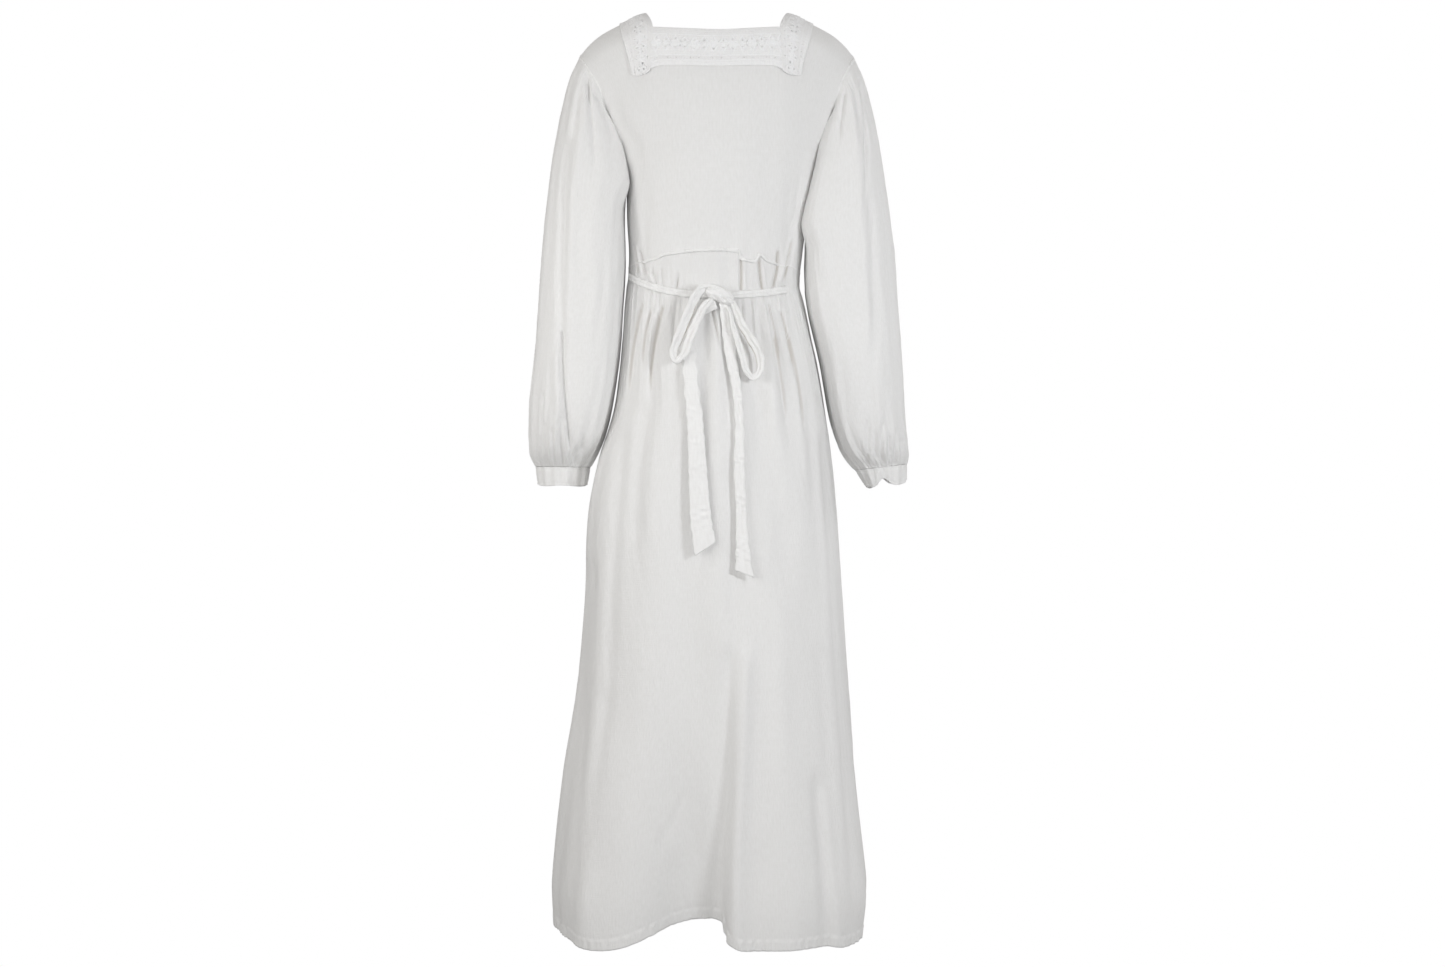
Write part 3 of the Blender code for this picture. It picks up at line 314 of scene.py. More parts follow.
# Creases seen from the back or front: a straight run from one point across and up to another,
# how far it bows, its half width and its height, which is below nought for a trough
Crease = namedtuple("Crease", "x0 z0 x1 z1 bow width height")
BACK_CREASES = rows_of(
    Crease,
    (0.101, -0.372, 0.094, -0.400, 0.0000, 0.0017, -0.0024),
    (0.097, -0.370, 0.089, -0.402, 0.0008, 0.0017, 0.0016),
    (0.092, -0.373, 0.084, -0.403, 0.0008, 0.0017, -0.0030),
    (0.086, -0.374, 0.079, -0.404, 0.0000, 0.0017, 0.0014),
    (0.080, -0.374, 0.075, -0.404, 0.0000, 0.0017, -0.0021),
    (0.066, -0.372, 0.065, -0.404, 0.0000, 0.0017, -0.0013),
    (0.054, -0.384, 0.057, -0.410, 0.0000, 0.0019, -0.0040),
    (0.030, -0.376, 0.031, -0.408, 0.0000, 0.0035, -0.0010),
    (-0.035, -0.356, -0.035, -0.412, 0.0000, 0.0026, -0.0050),
    (-0.040, -0.364, -0.041, -0.408, 0.0000, 0.0017, 0.0016),
    (-0.060, -0.358, -0.066, -0.412, 0.0008, 0.0024, -0.0056),
    (-0.067, -0.372, -0.074, -0.408, 0.0008, 0.0020, 0.0014),
    (-0.073, -0.388, -0.073, -0.410, 0.0000, 0.0017, -0.0019),
    (-0.089, -0.346, -0.078, -0.410, -0.0024, 0.0024, -0.0062),
    (-0.095, -0.360, -0.089, -0.406, -0.0016, 0.0020, 0.0021),
    (-0.101, -0.368, -0.096, -0.404, -0.0008, 0.0017, -0.0021),
    (-0.109, -0.300, -0.103, -0.390, 0.0010, 0.0050, -0.0030),
    (0.104, -0.300, 0.103, -0.380, -0.0010, 0.0050, -0.0022),
    (0.091, -0.428, 0.104, -0.520, 0.0040, 0.0027, -0.0042),
    (0.084, -0.426, 0.096, -0.510, 0.0032, 0.0032, 0.0027),
    (0.074, -0.424, 0.093, -0.560, 0.0056, 0.0030, -0.0051),
    (0.065, -0.424, 0.078, -0.540, 0.0032, 0.0041, 0.0026),
    (0.056, -0.424, 0.060, -0.480, 0.0016, 0.0023, -0.0024),
    (0.104, -0.420, 0.124, -0.560, 0.0048, 0.0032, -0.0045),
    (0.098, -0.560, 0.111, -0.780, 0.0040, 0.0110, -0.0030),
    (0.044, -0.428, 0.047, -0.470, 0.0008, 0.0026, -0.0014),
    (-0.036, -0.424, -0.040, -0.480, 0.0000, 0.0020, -0.0029),
    (-0.046, -0.426, -0.052, -0.500, -0.0008, 0.0029, 0.0014),
    (-0.073, -0.424, -0.089, -0.505, -0.0016, 0.0022, -0.0040),
    (-0.066, -0.426, -0.078, -0.500, -0.0016, 0.0029, 0.0021),
    (-0.083, -0.430, -0.102, -0.560, -0.0032, 0.0037, 0.0024),
    (-0.080, -0.470, -0.099, -0.600, -0.0024, 0.0030, -0.0038),
    (-0.090, -0.432, -0.108, -0.520, -0.0024, 0.0021, -0.0045),
    (-0.102, -0.470, -0.124, -0.610, -0.0032, 0.0032, -0.0042),
    (-0.110, -0.520, -0.126, -0.680, -0.0030, 0.0080, 0.0020),
    (-0.076, -0.560, -0.089, -0.840, -0.0030, 0.0120, -0.0024),
    (-0.060, -0.460, -0.066, -0.640, -0.0030, 0.0090, -0.0018),
    (-0.104, -0.700, -0.112, -1.050, 0.0030, 0.0150, -0.0030),
    (-0.128, -0.560, -0.150, -0.900, -0.0030, 0.0080, -0.0036),
    (-0.145, -0.900, -0.168, -1.240, 0.0000, 0.0110, -0.0036),
    (0.130, -0.600, 0.150, -0.980, 0.0040, 0.0100, -0.0036),
    (0.150, -0.960, 0.185, -1.230, 0.0020, 0.0110, -0.0036),
    (0.040, -0.600, 0.050, -0.950, 0.0040, 0.0130, -0.0014),
    (0.050, -1.130, 0.078, -1.190, 0.0040, 0.0060, -0.0016),
    (0.036, -1.100, 0.060, -1.150, 0.0030, 0.0050, -0.0012),
    (-0.020, -0.640, -0.028, -0.930, 0.0040, 0.0130, -0.0024),
    (0.008, -0.428, -0.007, -0.490, 0.0010, 0.0020, -0.0040),
    (-0.019, -0.900, 0.007, -1.430, 0.0000, 0.0110, -0.0072),
    (-0.043, -0.900, -0.017, -1.430, 0.0000, 0.0100, 0.0050),
    (-0.138, -1.080, -0.158, -1.380, 0.0000, 0.0090, -0.0050),
    (-0.152, -1.100, -0.170, -1.380, 0.0000, 0.0080, 0.0030),
    (0.060, -1.180, 0.064, -1.340, 0.0000, 0.0120, -0.0024),
    (-0.060, -1.160, -0.052, -1.370, 0.0030, 0.0140, -0.0024),
    (0.1205, -0.336, 0.1115, -0.378, 0.0000, 0.0019, -0.0042),
    (0.1160, -0.338, 0.1065, -0.380, 0.0000, 0.0019, 0.0020),
    (0.1120, -0.344, 0.1020, -0.381, 0.0000, 0.0018, -0.0036),
    (-0.1130, -0.330, -0.0880, -0.406, -0.0020, 0.0022, -0.0038),
    (-0.1065, -0.334, -0.0820, -0.406, -0.0020, 0.0026, 0.0022),
    (-0.152, -0.600, -0.197, -1.340, 0.0000, 0.0090, -0.0050),
    (-0.138, -0.600, -0.180, -1.340, 0.0000, 0.0120, 0.0030),
    (0.176, -0.780, 0.206, -1.340, 0.0000, 0.0110, -0.0050),
    (0.160, -0.780, 0.186, -1.340, 0.0000, 0.0130, 0.0030),
    (0.112, -0.185, 0.119, -0.285, -0.0040, 0.0050, -0.0024),
    (0.121, -0.175, 0.124, -0.270, -0.0030, 0.0050, -0.0020),
    (0.130, -0.220, 0.108, -0.360, 0.0030, 0.0060, -0.0026),
    (-0.124, -0.230, -0.112, -0.350, 0.0030, 0.0050, -0.0030),
    (-0.108, -0.250, -0.100, -0.350, 0.0020, 0.0070, -0.0020),
    (0.090, -0.130, 0.080, -0.300, 0.0040, 0.0130, -0.0009),
    (-0.082, -0.130, -0.070, -0.310, 0.0040, 0.0140, -0.0010),
    (0.030, -0.120, 0.026, -0.330, 0.0030, 0.0140, -0.0006),
    (-0.026, -0.150, -0.020, -0.340, 0.0030, 0.0140, -0.0006),
)
FRONT_CREASES = rows_of(
    Crease,
    (0.095, -0.372, 0.088, -0.402, 0.001, 0.0028, -0.0014),
    (0.070, -0.368, 0.064, -0.404, 0.000, 0.0030, -0.0012),
    (0.040, -0.362, 0.038, -0.402, 0.000, 0.0030, -0.0010),
    (-0.034, -0.362, -0.030, -0.404, 0.000, 0.0030, -0.0012),
    (-0.061, -0.366, -0.058, -0.404, 0.001, 0.0028, -0.0014),
    (-0.092, -0.372, -0.084, -0.402, 0.000, 0.0030, -0.0014),
    (0.060, -0.430, 0.078, -0.560, 0.004, 0.0050, -0.0026),
    (0.088, -0.432, 0.104, -0.600, 0.004, 0.0060, -0.0026),
    (0.022, -0.430, 0.026, -0.560, 0.002, 0.0060, -0.0020),
    (-0.020, -0.430, -0.026, -0.600, 0.003, 0.0060, -0.0022),
    (-0.056, -0.430, -0.070, -0.560, -0.003, 0.0050, -0.0026),
    (-0.084, -0.432, -0.104, -0.620, -0.004, 0.0060, -0.0028),
    (0.030, -0.640, 0.040, -1.000, 0.004, 0.0130, -0.0030),
    (-0.070, -0.640, -0.086, -1.020, 0.003, 0.0130, -0.0030),
    (0.118, -0.660, 0.140, -1.050, 0.003, 0.0110, -0.0034),
    (-0.120, -0.700, -0.140, -1.100, 0.003, 0.0110, -0.0034),
    (0.110, -0.190, 0.096, -0.300, 0.004, 0.0060, -0.0018),
    (-0.112, -0.190, -0.100, -0.310, -0.004, 0.0060, -0.0018),
    (0.060, -0.200, 0.050, -0.330, 0.003, 0.0090, -0.0012),
    (-0.052, -0.200, -0.048, -0.330, 0.003, 0.0090, -0.0012),
    (0.004, -0.200, 0.002, -0.340, 0.002, 0.0110, -0.0008),
)
LEFT_SLEEVE_CREASES = rows_of(
    Crease,
    (0.188, -0.080, 0.184, -0.150, -0.002, 0.0022, -0.0046),
    (0.184, -0.080, 0.175, -0.225, 0.001, 0.0024, -0.0046),
    (0.176, -0.120, 0.158, -0.195, -0.003, 0.0022, -0.0046),
    (0.196, -0.114, 0.202, -0.185, 0.002, 0.0040, -0.0022),
    (0.168, -0.160, 0.158, -0.230, -0.003, 0.0040, -0.0012),
    (0.212, -0.180, 0.216, -0.560, 0.006, 0.0070, -0.0048),
    (0.190, -0.260, 0.180, -0.520, 0.006, 0.0120, -0.0018),
    (0.150, -0.300, 0.160, -0.420, 0.004, 0.0080, -0.0016),
    (0.232, -0.300, 0.240, -0.520, 0.004, 0.0090, -0.0014),
    (0.2215, -0.460, 0.2030, -0.652, 0.004, 0.0030, -0.0066),
    (0.2290, -0.490, 0.2130, -0.652, 0.004, 0.0050, 0.0022),
    (0.2475, -0.550, 0.2525, -0.652, 0.000, 0.0024, -0.0042),
    (0.2360, -0.570, 0.2400, -0.652, 0.000, 0.0036, 0.0018),
    (0.246, -0.590, 0.243, -0.660, 0.001, 0.0028, -0.0022),
    (0.234, -0.600, 0.232, -0.660, 0.000, 0.0028, -0.0038),
    (0.222, -0.585, 0.221, -0.660, 0.001, 0.0030, -0.0042),
    (0.211, -0.605, 0.211, -0.660, 0.000, 0.0026, -0.0034),
    (0.200, -0.590, 0.201, -0.660, 0.001, 0.0030, -0.0024),
    (0.190, -0.610, 0.193, -0.660, 0.000, 0.0026, -0.0030),
    (0.254, -0.610, 0.251, -0.660, 0.000, 0.0024, -0.0016),
)
RIGHT_SLEEVE_CREASES = rows_of(
    Crease,
    (-0.184, -0.120, -0.178, -0.200, 0.001, 0.0024, -0.0044),
    (-0.206, -0.100, -0.212, -0.270, -0.004, 0.0026, -0.0046),
    (-0.199, -0.090, -0.203, -0.200, -0.002, 0.0050, -0.0012),
    (-0.180, -0.160, -0.172, -0.240, 0.002, 0.0040, -0.0014),
    (-0.218, -0.260, -0.222, -0.560, -0.006, 0.0075, -0.0042),
    (-0.190, -0.280, -0.196, -0.520, -0.006, 0.0120, -0.0016),
    (-0.158, -0.320, -0.170, -0.450, -0.004, 0.0080, -0.0016),
    (-0.244, -0.300, -0.252, -0.540, -0.004, 0.0090, -0.0014),
    (-0.262, -0.600, -0.260, -0.655, 0.001, 0.0028, -0.0038),
    (-0.250, -0.610, -0.250, -0.658, 0.000, 0.0028, -0.0038),
    (-0.239, -0.590, -0.240, -0.660, 0.001, 0.0030, -0.0042),
    (-0.228, -0.605, -0.231, -0.660, 0.000, 0.0026, -0.0034),
    (-0.216, -0.590, -0.221, -0.662, 0.001, 0.0030, -0.0042),
    (-0.207, -0.615, -0.213, -0.662, 0.000, 0.0026, -0.0018),
    (-0.270, -0.615, -0.268, -0.655, 0.000, 0.0024, -0.0016),
)

# Half width below which a crease is a sharp fold, and from which depth, over which span and how
# much painted shade darkens it inside
SHARP_FOLD = 0.0034
FOLD_SHADE_FROM = 0.0018
FOLD_SHADE_SPAN = 0.0032
FOLD_SHADE_DARKEST = 0.42

# Mean sizes that turn a column, an angle or a share of the sleeve into a distance
COLUMN_WIDTH = 0.011
BODY_RADIUS = 0.16
SLEEVE_RADIUS = 0.066
SLEEVE_LENGTH = 0.6

# Sizes of sewn details
HEM_DEPTH = 0.016
HEM_STEP = 0.0006
STITCH_LINE = 0.0016
SEAM_RIDGE_HEIGHT = 0.0007
TIE_GATHER_HEIGHT = 0.0013
ARMHOLE_FULLNESS = 0.013
CUFF_THICKNESS = 0.0016
CUFF_CRUMPLE_LEFT = 0.0010
CUFF_CRUMPLE_RIGHT = 0.0022
TIE_THICKNESS = 0.0010
TIE_FOLD_RISE = 0.0040
TIE_SUNK = 0.0030

# Gap under cloth that is laid on other cloth
LAID_GAP = 0.0004

# Raised seams: radius, length, how far they rise and are sunk, and where the waist's stops
PIPING_RADIUS = 0.0018
ARMHOLE_RADIUS = 0.0014
WAIST_SEAM_LENGTH = 0.70
ARMHOLE_SEAM_LENGTH = 0.42
PIPING_RISE = 0.0024
ARMHOLE_RISE = 0.0014
SEAM_SUNK = 0.0012
PIPING_END_LEFT = 0.115
PIPING_END_RIGHT = 0.094

# Share of the sleeve's length at which its fall into the cuff is measured
ABOVE_CUFF = 0.965

# Crease in the right cuff's lower edge: place across, reach, rise and dent, and the lobe's lean
NOTCH_PLACE = -0.2440
NOTCH_REACH = 0.0085
NOTCH_RISE = 0.0090
NOTCH_DENT = 0.0035
LOBE_LEAN = 0.0070

# Crochet: rows and stitches, rosettes by their place along the pitch and size, lines of eyelets
# by their place across and size, raised lines, the open ground's mesh, how much coarser the
# hidden front is, and how many of the bodice's rows the back band covers
STITCH_ROW = 0.0032
STITCH_PITCH = 0.0024
ROSETTES = ((0.0, 0.0044), (0.5, 0.0032))
EYELET_LINES = ((0.80, 0.00070), (0.12, 0.0006))
EYELET_PITCH = 0.0039
RAISED_LINES = (0.20, 0.74, 0.87, 0.95)
GROUND_PITCH = 0.0058
GROUND_HOLE = 0.00062
GROUND_MARGIN = 0.004
FRONT_LACE_COARSER = 1.3
BACK_BAND_ROWS = 2.62

# Finishes: the grain's size across and down, its depth, and the threads' share of it
Finish = namedtuple("Finish", "grain depth threads")
GAUZE_THREADS = 0.35
TONE_THREADS = 0.35
TIE_FINISH = Finish((0.002, 0.012), 0.0004, 0.5)
LACE_FINISH = Finish((0.0024, 0.0028), 0.0007, 0.7)
# Darkest painted shade between the lace's raised stitches
LACE_SHADE_DARKEST = 0.10
THREAD_WIDTH = 0.0011
THREAD_LENGTH = 0.03

# Flat cuts, width by length
BODICE_CUT = (0.430, 0.385)
SKIRT_CUT = (0.86, 0.985)
SLEEVE_CUT = (0.50, 0.60)
CUFF_CUT = (0.180, CUFF_HEIGHT)
TIE_BAND_CUT = (0.150, TIE_HEIGHT)
KNOT_CUT_WIDTH = 0.0300
COLLAR_BAND_LENGTH = 0.182
COLLAR_BAND_WIDTH = 0.054
COLLAR_SIDE_WIDTH = 0.038

# Panels: cells across, rows or the longest cell down, and flat area, the back's finer. The hem
# has its own count of cells, and rows from the plain one on have fewer
Panel = namedtuple("Panel", "back cells down area")
BODICE_STOPS = (-12, -11.2, -7, -5, 5, 7, 11.2, 12)
BODICE_PANELS = {
    "back_bodice": Panel(True, (10, 36, 14, 60, 14, 36, 10), 60, 0.125),
    "front_bodice": Panel(False, (6, 18, 10, 40, 10, 18, 6), 44, 0.115),
}
SKIRT_PANELS = {
    "back_skirt": Panel(True, 330, 0.0065, 0.62),
    "front_skirt": Panel(False, 170, 0.0090, 0.62),
}
HEM_CELLS = 14
PLAIN_SKIRT_ROW = 7

# Cells of the pieces that come on both sides, and of the seams
SIDES = {"left": True, "right": False}
SLEEVE_COLUMNS = 216
SLEEVE_STOPS = (0.0, 0.03, 0.12, 0.8, 1.0)
SLEEVE_CELLS = (6, 18, 70, 38)
CUFF_COLUMNS = 150
CUFF_ROWS = 24
WAIST_SEAM_STEPS = 560
ARMHOLE_SEAM_STEPS = 300
SEAM_SIDES = 10
TIE_BAND_STEPS = 150
TIE_BAND_ROWS = 17

# Where the tie starts in the side seams, as angles from the back
TIE_LEFT_END = 1.50
TIE_RIGHT_END = -1.12

# Straps of the bow: stations along, thickness, tilt, groove, height of the creases, draw of the
# creases, slant of the cut end, and the side that faces the inside of the loop and takes painted
# shade
Strap = namedtuple("Strap", "node table stations thickness tilt groove creases seed slant inside")
STRAPS = rows_of(
    Strap,
    ("bow_loop_left", LEFT_LOOP, 190, 0.0050, 0.5, 0.0018, 0.0003, 51, 0.0, -1),
    ("bow_loop_right", RIGHT_LOOP, 190, 0.0050, -0.5, 0.0018, 0.0003, 53, 0.0, 1),
    ("tie_end_left", LEFT_END, 220, 0.0024, 0.0, 0.0, 0.00028, 55, 0.007, 0),
    ("tie_end_right", RIGHT_END, 220, 0.0028, 0.0, 0.0010, 0.00032, 57, -0.006, 0),
)
STRAP_SIDES = 36

# The knot: its ends off the middle of its box, across and up, its half width, how far it bulges
# past the box, the pitch and height of its folds, and its cells
KNOT_START = (0.0225, 0.0070)
KNOT_END = (-0.0165, -0.0110)
KNOT_HALF_WIDTH = 0.0105
KNOT_BULGE = 0.0024
KNOT_FOLD_PITCH = 0.0066
KNOT_FOLD_HEIGHT = 0.0013
KNOT_STATIONS = 84
KNOT_SIDES = 44

# Camera, floor and lamps, each lamp with its place, size and tint
CAMERA_PLACE = (-0.0087, 2.815, -0.6815)
CAMERA_SENSOR = 36.0
CAMERA_LENS = 48.11
FLOOR_REACH = 60.0
FLOOR_CORNERS = 64
LIT_MIDDLE = (0.0, 0.0, -0.65)
WHITE = (1.0, 1.0, 1.0, 1.0)
SKY_TINT = (1.0, 0.975, 0.945, 1.0)
COOL = (0.950, 0.970, 1.0)
WARM = (0.995, 0.992, 0.980)
PLAIN = (0.975, 0.983, 1.0)
Lamp = namedtuple("Lamp", "name place size tint")
LAMPS = rows_of(
    Lamp,
    ("key", (-0.87, 1.02, -0.38), 0.22, COOL),
    ("fill", (0.85, 1.10, -0.42), 0.45, WARM),
    ("front", (0.0, 3.10, -0.70), 0.60, PLAIN),
    ("far", (-1.75, -1.20, 0.10), 0.60, PLAIN),
    ("rim", (0.85, 0.50, -0.30), 0.30, WARM),
    ("top", (0.0, 0.25, 0.85), 0.60, PLAIN),
)


def follow(knots, values, at):
    """Values of a curve at some places: cubic between its knots, with even slopes at each."""
    slopes = np.gradient(values, knots, axis=0)
    cell = np.clip(np.searchsorted(knots, at, side="right") - 1, 0, len(knots) - 2)
    step = knots[cell + 1] - knots[cell]
    part = (at - knots[cell]) / step
    if values.ndim > 1:
        step, part = step[:, None], part[:, None]
    return (
        (1 + 2 * part) * (1 - part) ** 2 * values[cell]
        + part * (1 - part) ** 2 * step * slopes[cell]
        + part**2 * (3 - 2 * part) * values[cell + 1]
        - part**2 * (1 - part) * step * slopes[cell + 1]
    )


def read(table, name, at):
    """Read a named column of a table at some values of its first, by a smooth curve."""
    rows = np.array(table, float)
    knots, values = rows[:, 0], rows[:, table[0]._fields.index(name)]
    if knots[0] > knots[-1]:
        knots, values = knots[::-1], values[::-1]
    return follow(knots, values, np.clip(at, knots[0], knots[-1]))


def unit(vectors):
    """Scale vectors to length one."""
    return vectors / np.maximum(np.linalg.norm(vectors, axis=-1, keepdims=True), 1e-12)


def distances(points):
    """Distance along a line of points up to each of them."""
    return np.concatenate([[0], np.cumsum(np.linalg.norm(np.diff(points, axis=0), axis=-1))])


def smooth_step(value):
    """Rise smoothly from 0 to 1 as the value does: 3 v^2 - 2 v^3."""
    value = np.clip(value, 0.0, 1.0)
    return value**2 * (3 - 2 * value)


def spread(stops, counts):
    """Divide each stretch between two stops evenly into its own count of cells."""
    parts = [
        np.linspace(start, end, count, endpoint=False)
        for start, end, count in zip(stops, stops[1:], counts)
    ]
    return np.concatenate(parts + [[stops[-1]]])


def ripple(across, along, seed, pitch, length, waves=16):
    """Sum of cosine waves of about one pitch across and one length along, scaled to one."""
    draw = np.random.default_rng(seed)
    total = 0.0
    for _ in range(waves):
        turns_across = 2 * math.pi / (pitch * draw.uniform(0.7, 1.7))
        turns_along = 2 * math.pi / (length * draw.uniform(0.6, 1.8)) * draw.choice((-1, 1))
        total = total + np.cos(turns_across * across + turns_along * along + draw.uniform(0, 6.28))
    return total / math.sqrt(waves / 2)


def creases_at(x, z, table):
    """Sum of a table's creases: height times a bell across the run, faded past both its ends."""
    total = np.zeros_like(x)
    for crease in table:
        run = np.array([crease.x1 - crease.x0, crease.z1 - crease.z0])
        length = math.hypot(*run)
        run = run / length
        along = ((x - crease.x0) * run[0] + (z - crease.z0) * run[1]) / length
        off = (z - crease.z0) * run[0] - (x - crease.x0) * run[1]
        off = off - crease.bow * 4 * along * (1 - along)
        ramp = 0.006 + 2.5 * crease.width
        ending = 0.008 if length < 0.06 else 0.45 * length
        fade = smooth_step((along * length + 0.003) / ramp)
        fade = fade * smooth_step((1.15 - along) * length / ending)
        total += crease.height * np.exp(-((off / crease.width) ** 2)) * fade
    return total


def level_of(turn):
    """Level reached after a turn over the shoulder, where 1 is its whole quarter circle."""
    quarter = math.pi / 2
    round_part = -SHOULDER_ROUNDING * (1 - np.cos(np.clip(turn, 0, 1) * quarter))
    return round_part - SHOULDER_ROUNDING * quarter * np.maximum(turn - 1, 0)


def turn_of(level):
    """Turn over the shoulder that reaches a level."""
    quarter = math.pi / 2
    depth = np.maximum(-level, 0)
    round_part = np.arccos(np.clip(1 - depth / SHOULDER_ROUNDING, -1, 1)) / quarter
    straight = 1 + (depth - SHOULDER_ROUNDING) / (SHOULDER_ROUNDING * quarter)
    return np.where(depth < SHOULDER_ROUNDING, round_part, straight)


def around(angle, centre):
    """Angle from a centre, between minus and plus half a turn."""
    return (angle - centre + math.pi) % (2 * math.pi) - math.pi


def hollow_shape(angle, hollow):
    """Share of one hem hollow's depth, a bell with its own reach on each side."""
    offset = around(angle, math.radians(hollow.angle))
    reach = np.where(offset > 0, math.radians(hollow.reach_left), math.radians(hollow.reach_right))
    return np.exp(-((offset / reach) ** 2) ** 1.5)


def fold_height(angle, level):
    """Gathers and soft folds, cosines round the body, less the hem's hollows."""
    calm = 0.35 + 0.65 * np.cos(angle) ** 2
    uneven = 1 + 0.35 * np.cos(3 * angle + 0.8)
    gathers = read(SKIRT, "gather", level) * np.cos(2 * HALF_COLUMNS * angle) * uneven * calm
    soft = read(SKIRT, "fold", level) * np.cos(HALF_COLUMNS * angle + 0.6 * np.sin(2 * angle) + 0.7)
    height = gathers + soft * calm
    deepest = read(SKIRT, "hollow", level)
    for hollow in HOLLOWS:
        height = height - deepest * hollow.share * hollow_shape(angle, hollow)
    return height


def body_surface(angle, turn):
    """Superellipse at each level, with depths that grow over the rounded, sloping shoulder."""
    level = level_of(turn)
    square = read(BODY, "square", level)
    sine, cosine = np.sin(angle), np.cos(angle)
    reach = (np.abs(sine) ** square + np.abs(cosine) ** square) ** (-1 / square)
    half = np.where(sine > 0, read(BODY, "left", level), read(BODY, "right", level))
    depth = np.where(cosine > 0, read(BODY, "back", level), read(BODY, "front", level))
    depth = depth * np.sin(np.clip(turn, 0, 1) * math.pi / 2)
    height = fold_height(angle, level)
    x = (half * reach + height) * sine
    y = (depth * reach + height) * cosine
    share = np.clip(level / UNDERARM_LEVEL, 0, 1)
    slope = read(SHOULDER, "drop", np.abs(x)) * (1 - share) ** 2 * (1 + 2 * share)
    return np.stack([x, y, level - slope], axis=-1)


def body_normals(angle, turn):
    """Outward normals of the body: its slope round crossed with its slope down."""
    before = np.maximum(turn - TURN_STEP, 0.0)
    along = body_surface(angle + ANGLE_STEP, turn) - body_surface(angle - ANGLE_STEP, turn)
    down = body_surface(angle, turn + TURN_STEP) - body_surface(angle, before)
    return unit(np.cross(along, down))


def share_behind(angle):
    """Rise from 0 on the body's front to 1 on its back."""
    return smooth_step((np.cos(angle) + 0.05) / 0.3)


def body_creases(points, angle):
    """Height of the body's creases, those of the back and of the front each on their side."""
    x, z = points[..., 0], points[..., 2]
    behind = share_behind(angle) * creases_at(x, z, BACK_CREASES)
    return behind + smooth_step((0.05 - np.cos(angle)) / 0.3) * creases_at(x, z, FRONT_CREASES)


def fold_depth(points, angle):
    """Share of painted shade inside a sharp fold: none down to 1.8 mm deep, most at 5 mm."""
    sharp = [crease for crease in BACK_CREASES if crease.width < SHARP_FOLD]
    depth = -share_behind(angle) * creases_at(points[..., 0], points[..., 2], sharp)
    return FOLD_SHADE_DARKEST * np.clip((depth - FOLD_SHADE_FROM) / FOLD_SHADE_SPAN, 0, 1)


def tie_gathers(angle, level):
    """Uneven small gathers that fan out from the tie, longer below it, strongest at both flanks."""
    below = tie_level(angle) - level
    fall = smooth_step(below / 0.010) * np.exp(-np.maximum(below, 0) / 0.065)
    rise = 0.6 * smooth_step(-below / 0.006) * np.exp(-np.maximum(-below, 0) / 0.016)
    flank = 0.3 + 0.7 * smooth_step((np.abs(np.sin(angle)) - 0.2) / 0.25)
    fan = ripple(BODY_RADIUS * angle, level, 14, 0.012, 0.6)
    return TIE_GATHER_HEIGHT * (fall + rise) * flank * fan


def body_relief(points, angle, level):
    """Creases, crinkle and soft unevenness of the body's cloth, as a height."""
    height = body_creases(points, angle) + tie_gathers(angle, level)
    girth = BODY_RADIUS * angle
    wrinkle = bpy.context.scene.dress_cloth.wrinkle_height * smooth_step(-level / 0.06)
    wrinkle = wrinkle * (0.45 + 0.55 * smooth_step((-0.36 - level) / 0.1))
    height = height + 1.6 * wrinkle * ripple(girth, level, 3, 0.060, 0.30)
    return height + 0.30 * wrinkle * ripple(girth, level, 4, 0.012, 0.05)


def half_width(level, left):
    """Half width of the body on one side at some levels."""
    return np.where(left, read(BODY, "left", level), read(BODY, "right", level))


def angle_across(distance, level, left):
    """Angle from the back or front at which the body's face is this far across."""
    square = read(BODY, "square", level)
    share = np.clip(distance / half_width(level, left), 0, 1)
    return np.arctan2(share, (1 - share**square) ** (1 / square))


def armhole_angle(level, span):
    """Angle of the armhole's edge from the back or front, a quarter turn at the underarm."""
    share = np.clip(level / UNDERARM_LEVEL, 0, 1)
    return math.pi / 2 - span * (1 - share**1.3) ** 0.625


def waist_level(angle, puckered=True):
    """Level of the waist seam, which arches up at the centre and dips at its puckers."""
    drop = np.where(np.sin(angle) > 0, WAIST_DROP_LEFT, WAIST_DROP_RIGHT)
    level = WAIST_LEVEL - drop * np.sin(angle) ** 2
    if puckered:
        for pucker in WAIST_PUCKERS:
            offset = np.degrees(around(angle, math.radians(pucker.angle))) / pucker.reach
            level = level - pucker.drop * np.exp(-(offset**8))
    return level


def tie_level(angle):
    """Level of the middle of the tie, which droops from the side seams to the knot."""
    rise = np.where(np.sin(angle) > 0, TIE_RISE_LEFT, TIE_RISE_RIGHT)
    return TIE_LEVEL + rise * np.abs(np.sin(angle)) ** 2.4


def to_body_angle(angle, back):
    """Turn an angle from the middle of a panel into one round the body."""
    return angle if back else math.pi - angle


def armhole_level(row):
    """Level of the bodice's rows beside the armhole, spaced by a cosine down to the underarm."""
    return UNDERARM_LEVEL * (1 - np.cos(math.pi * np.clip(row, 0, ARMHOLE_ROWS) / ARMHOLE_ROWS)) / 2


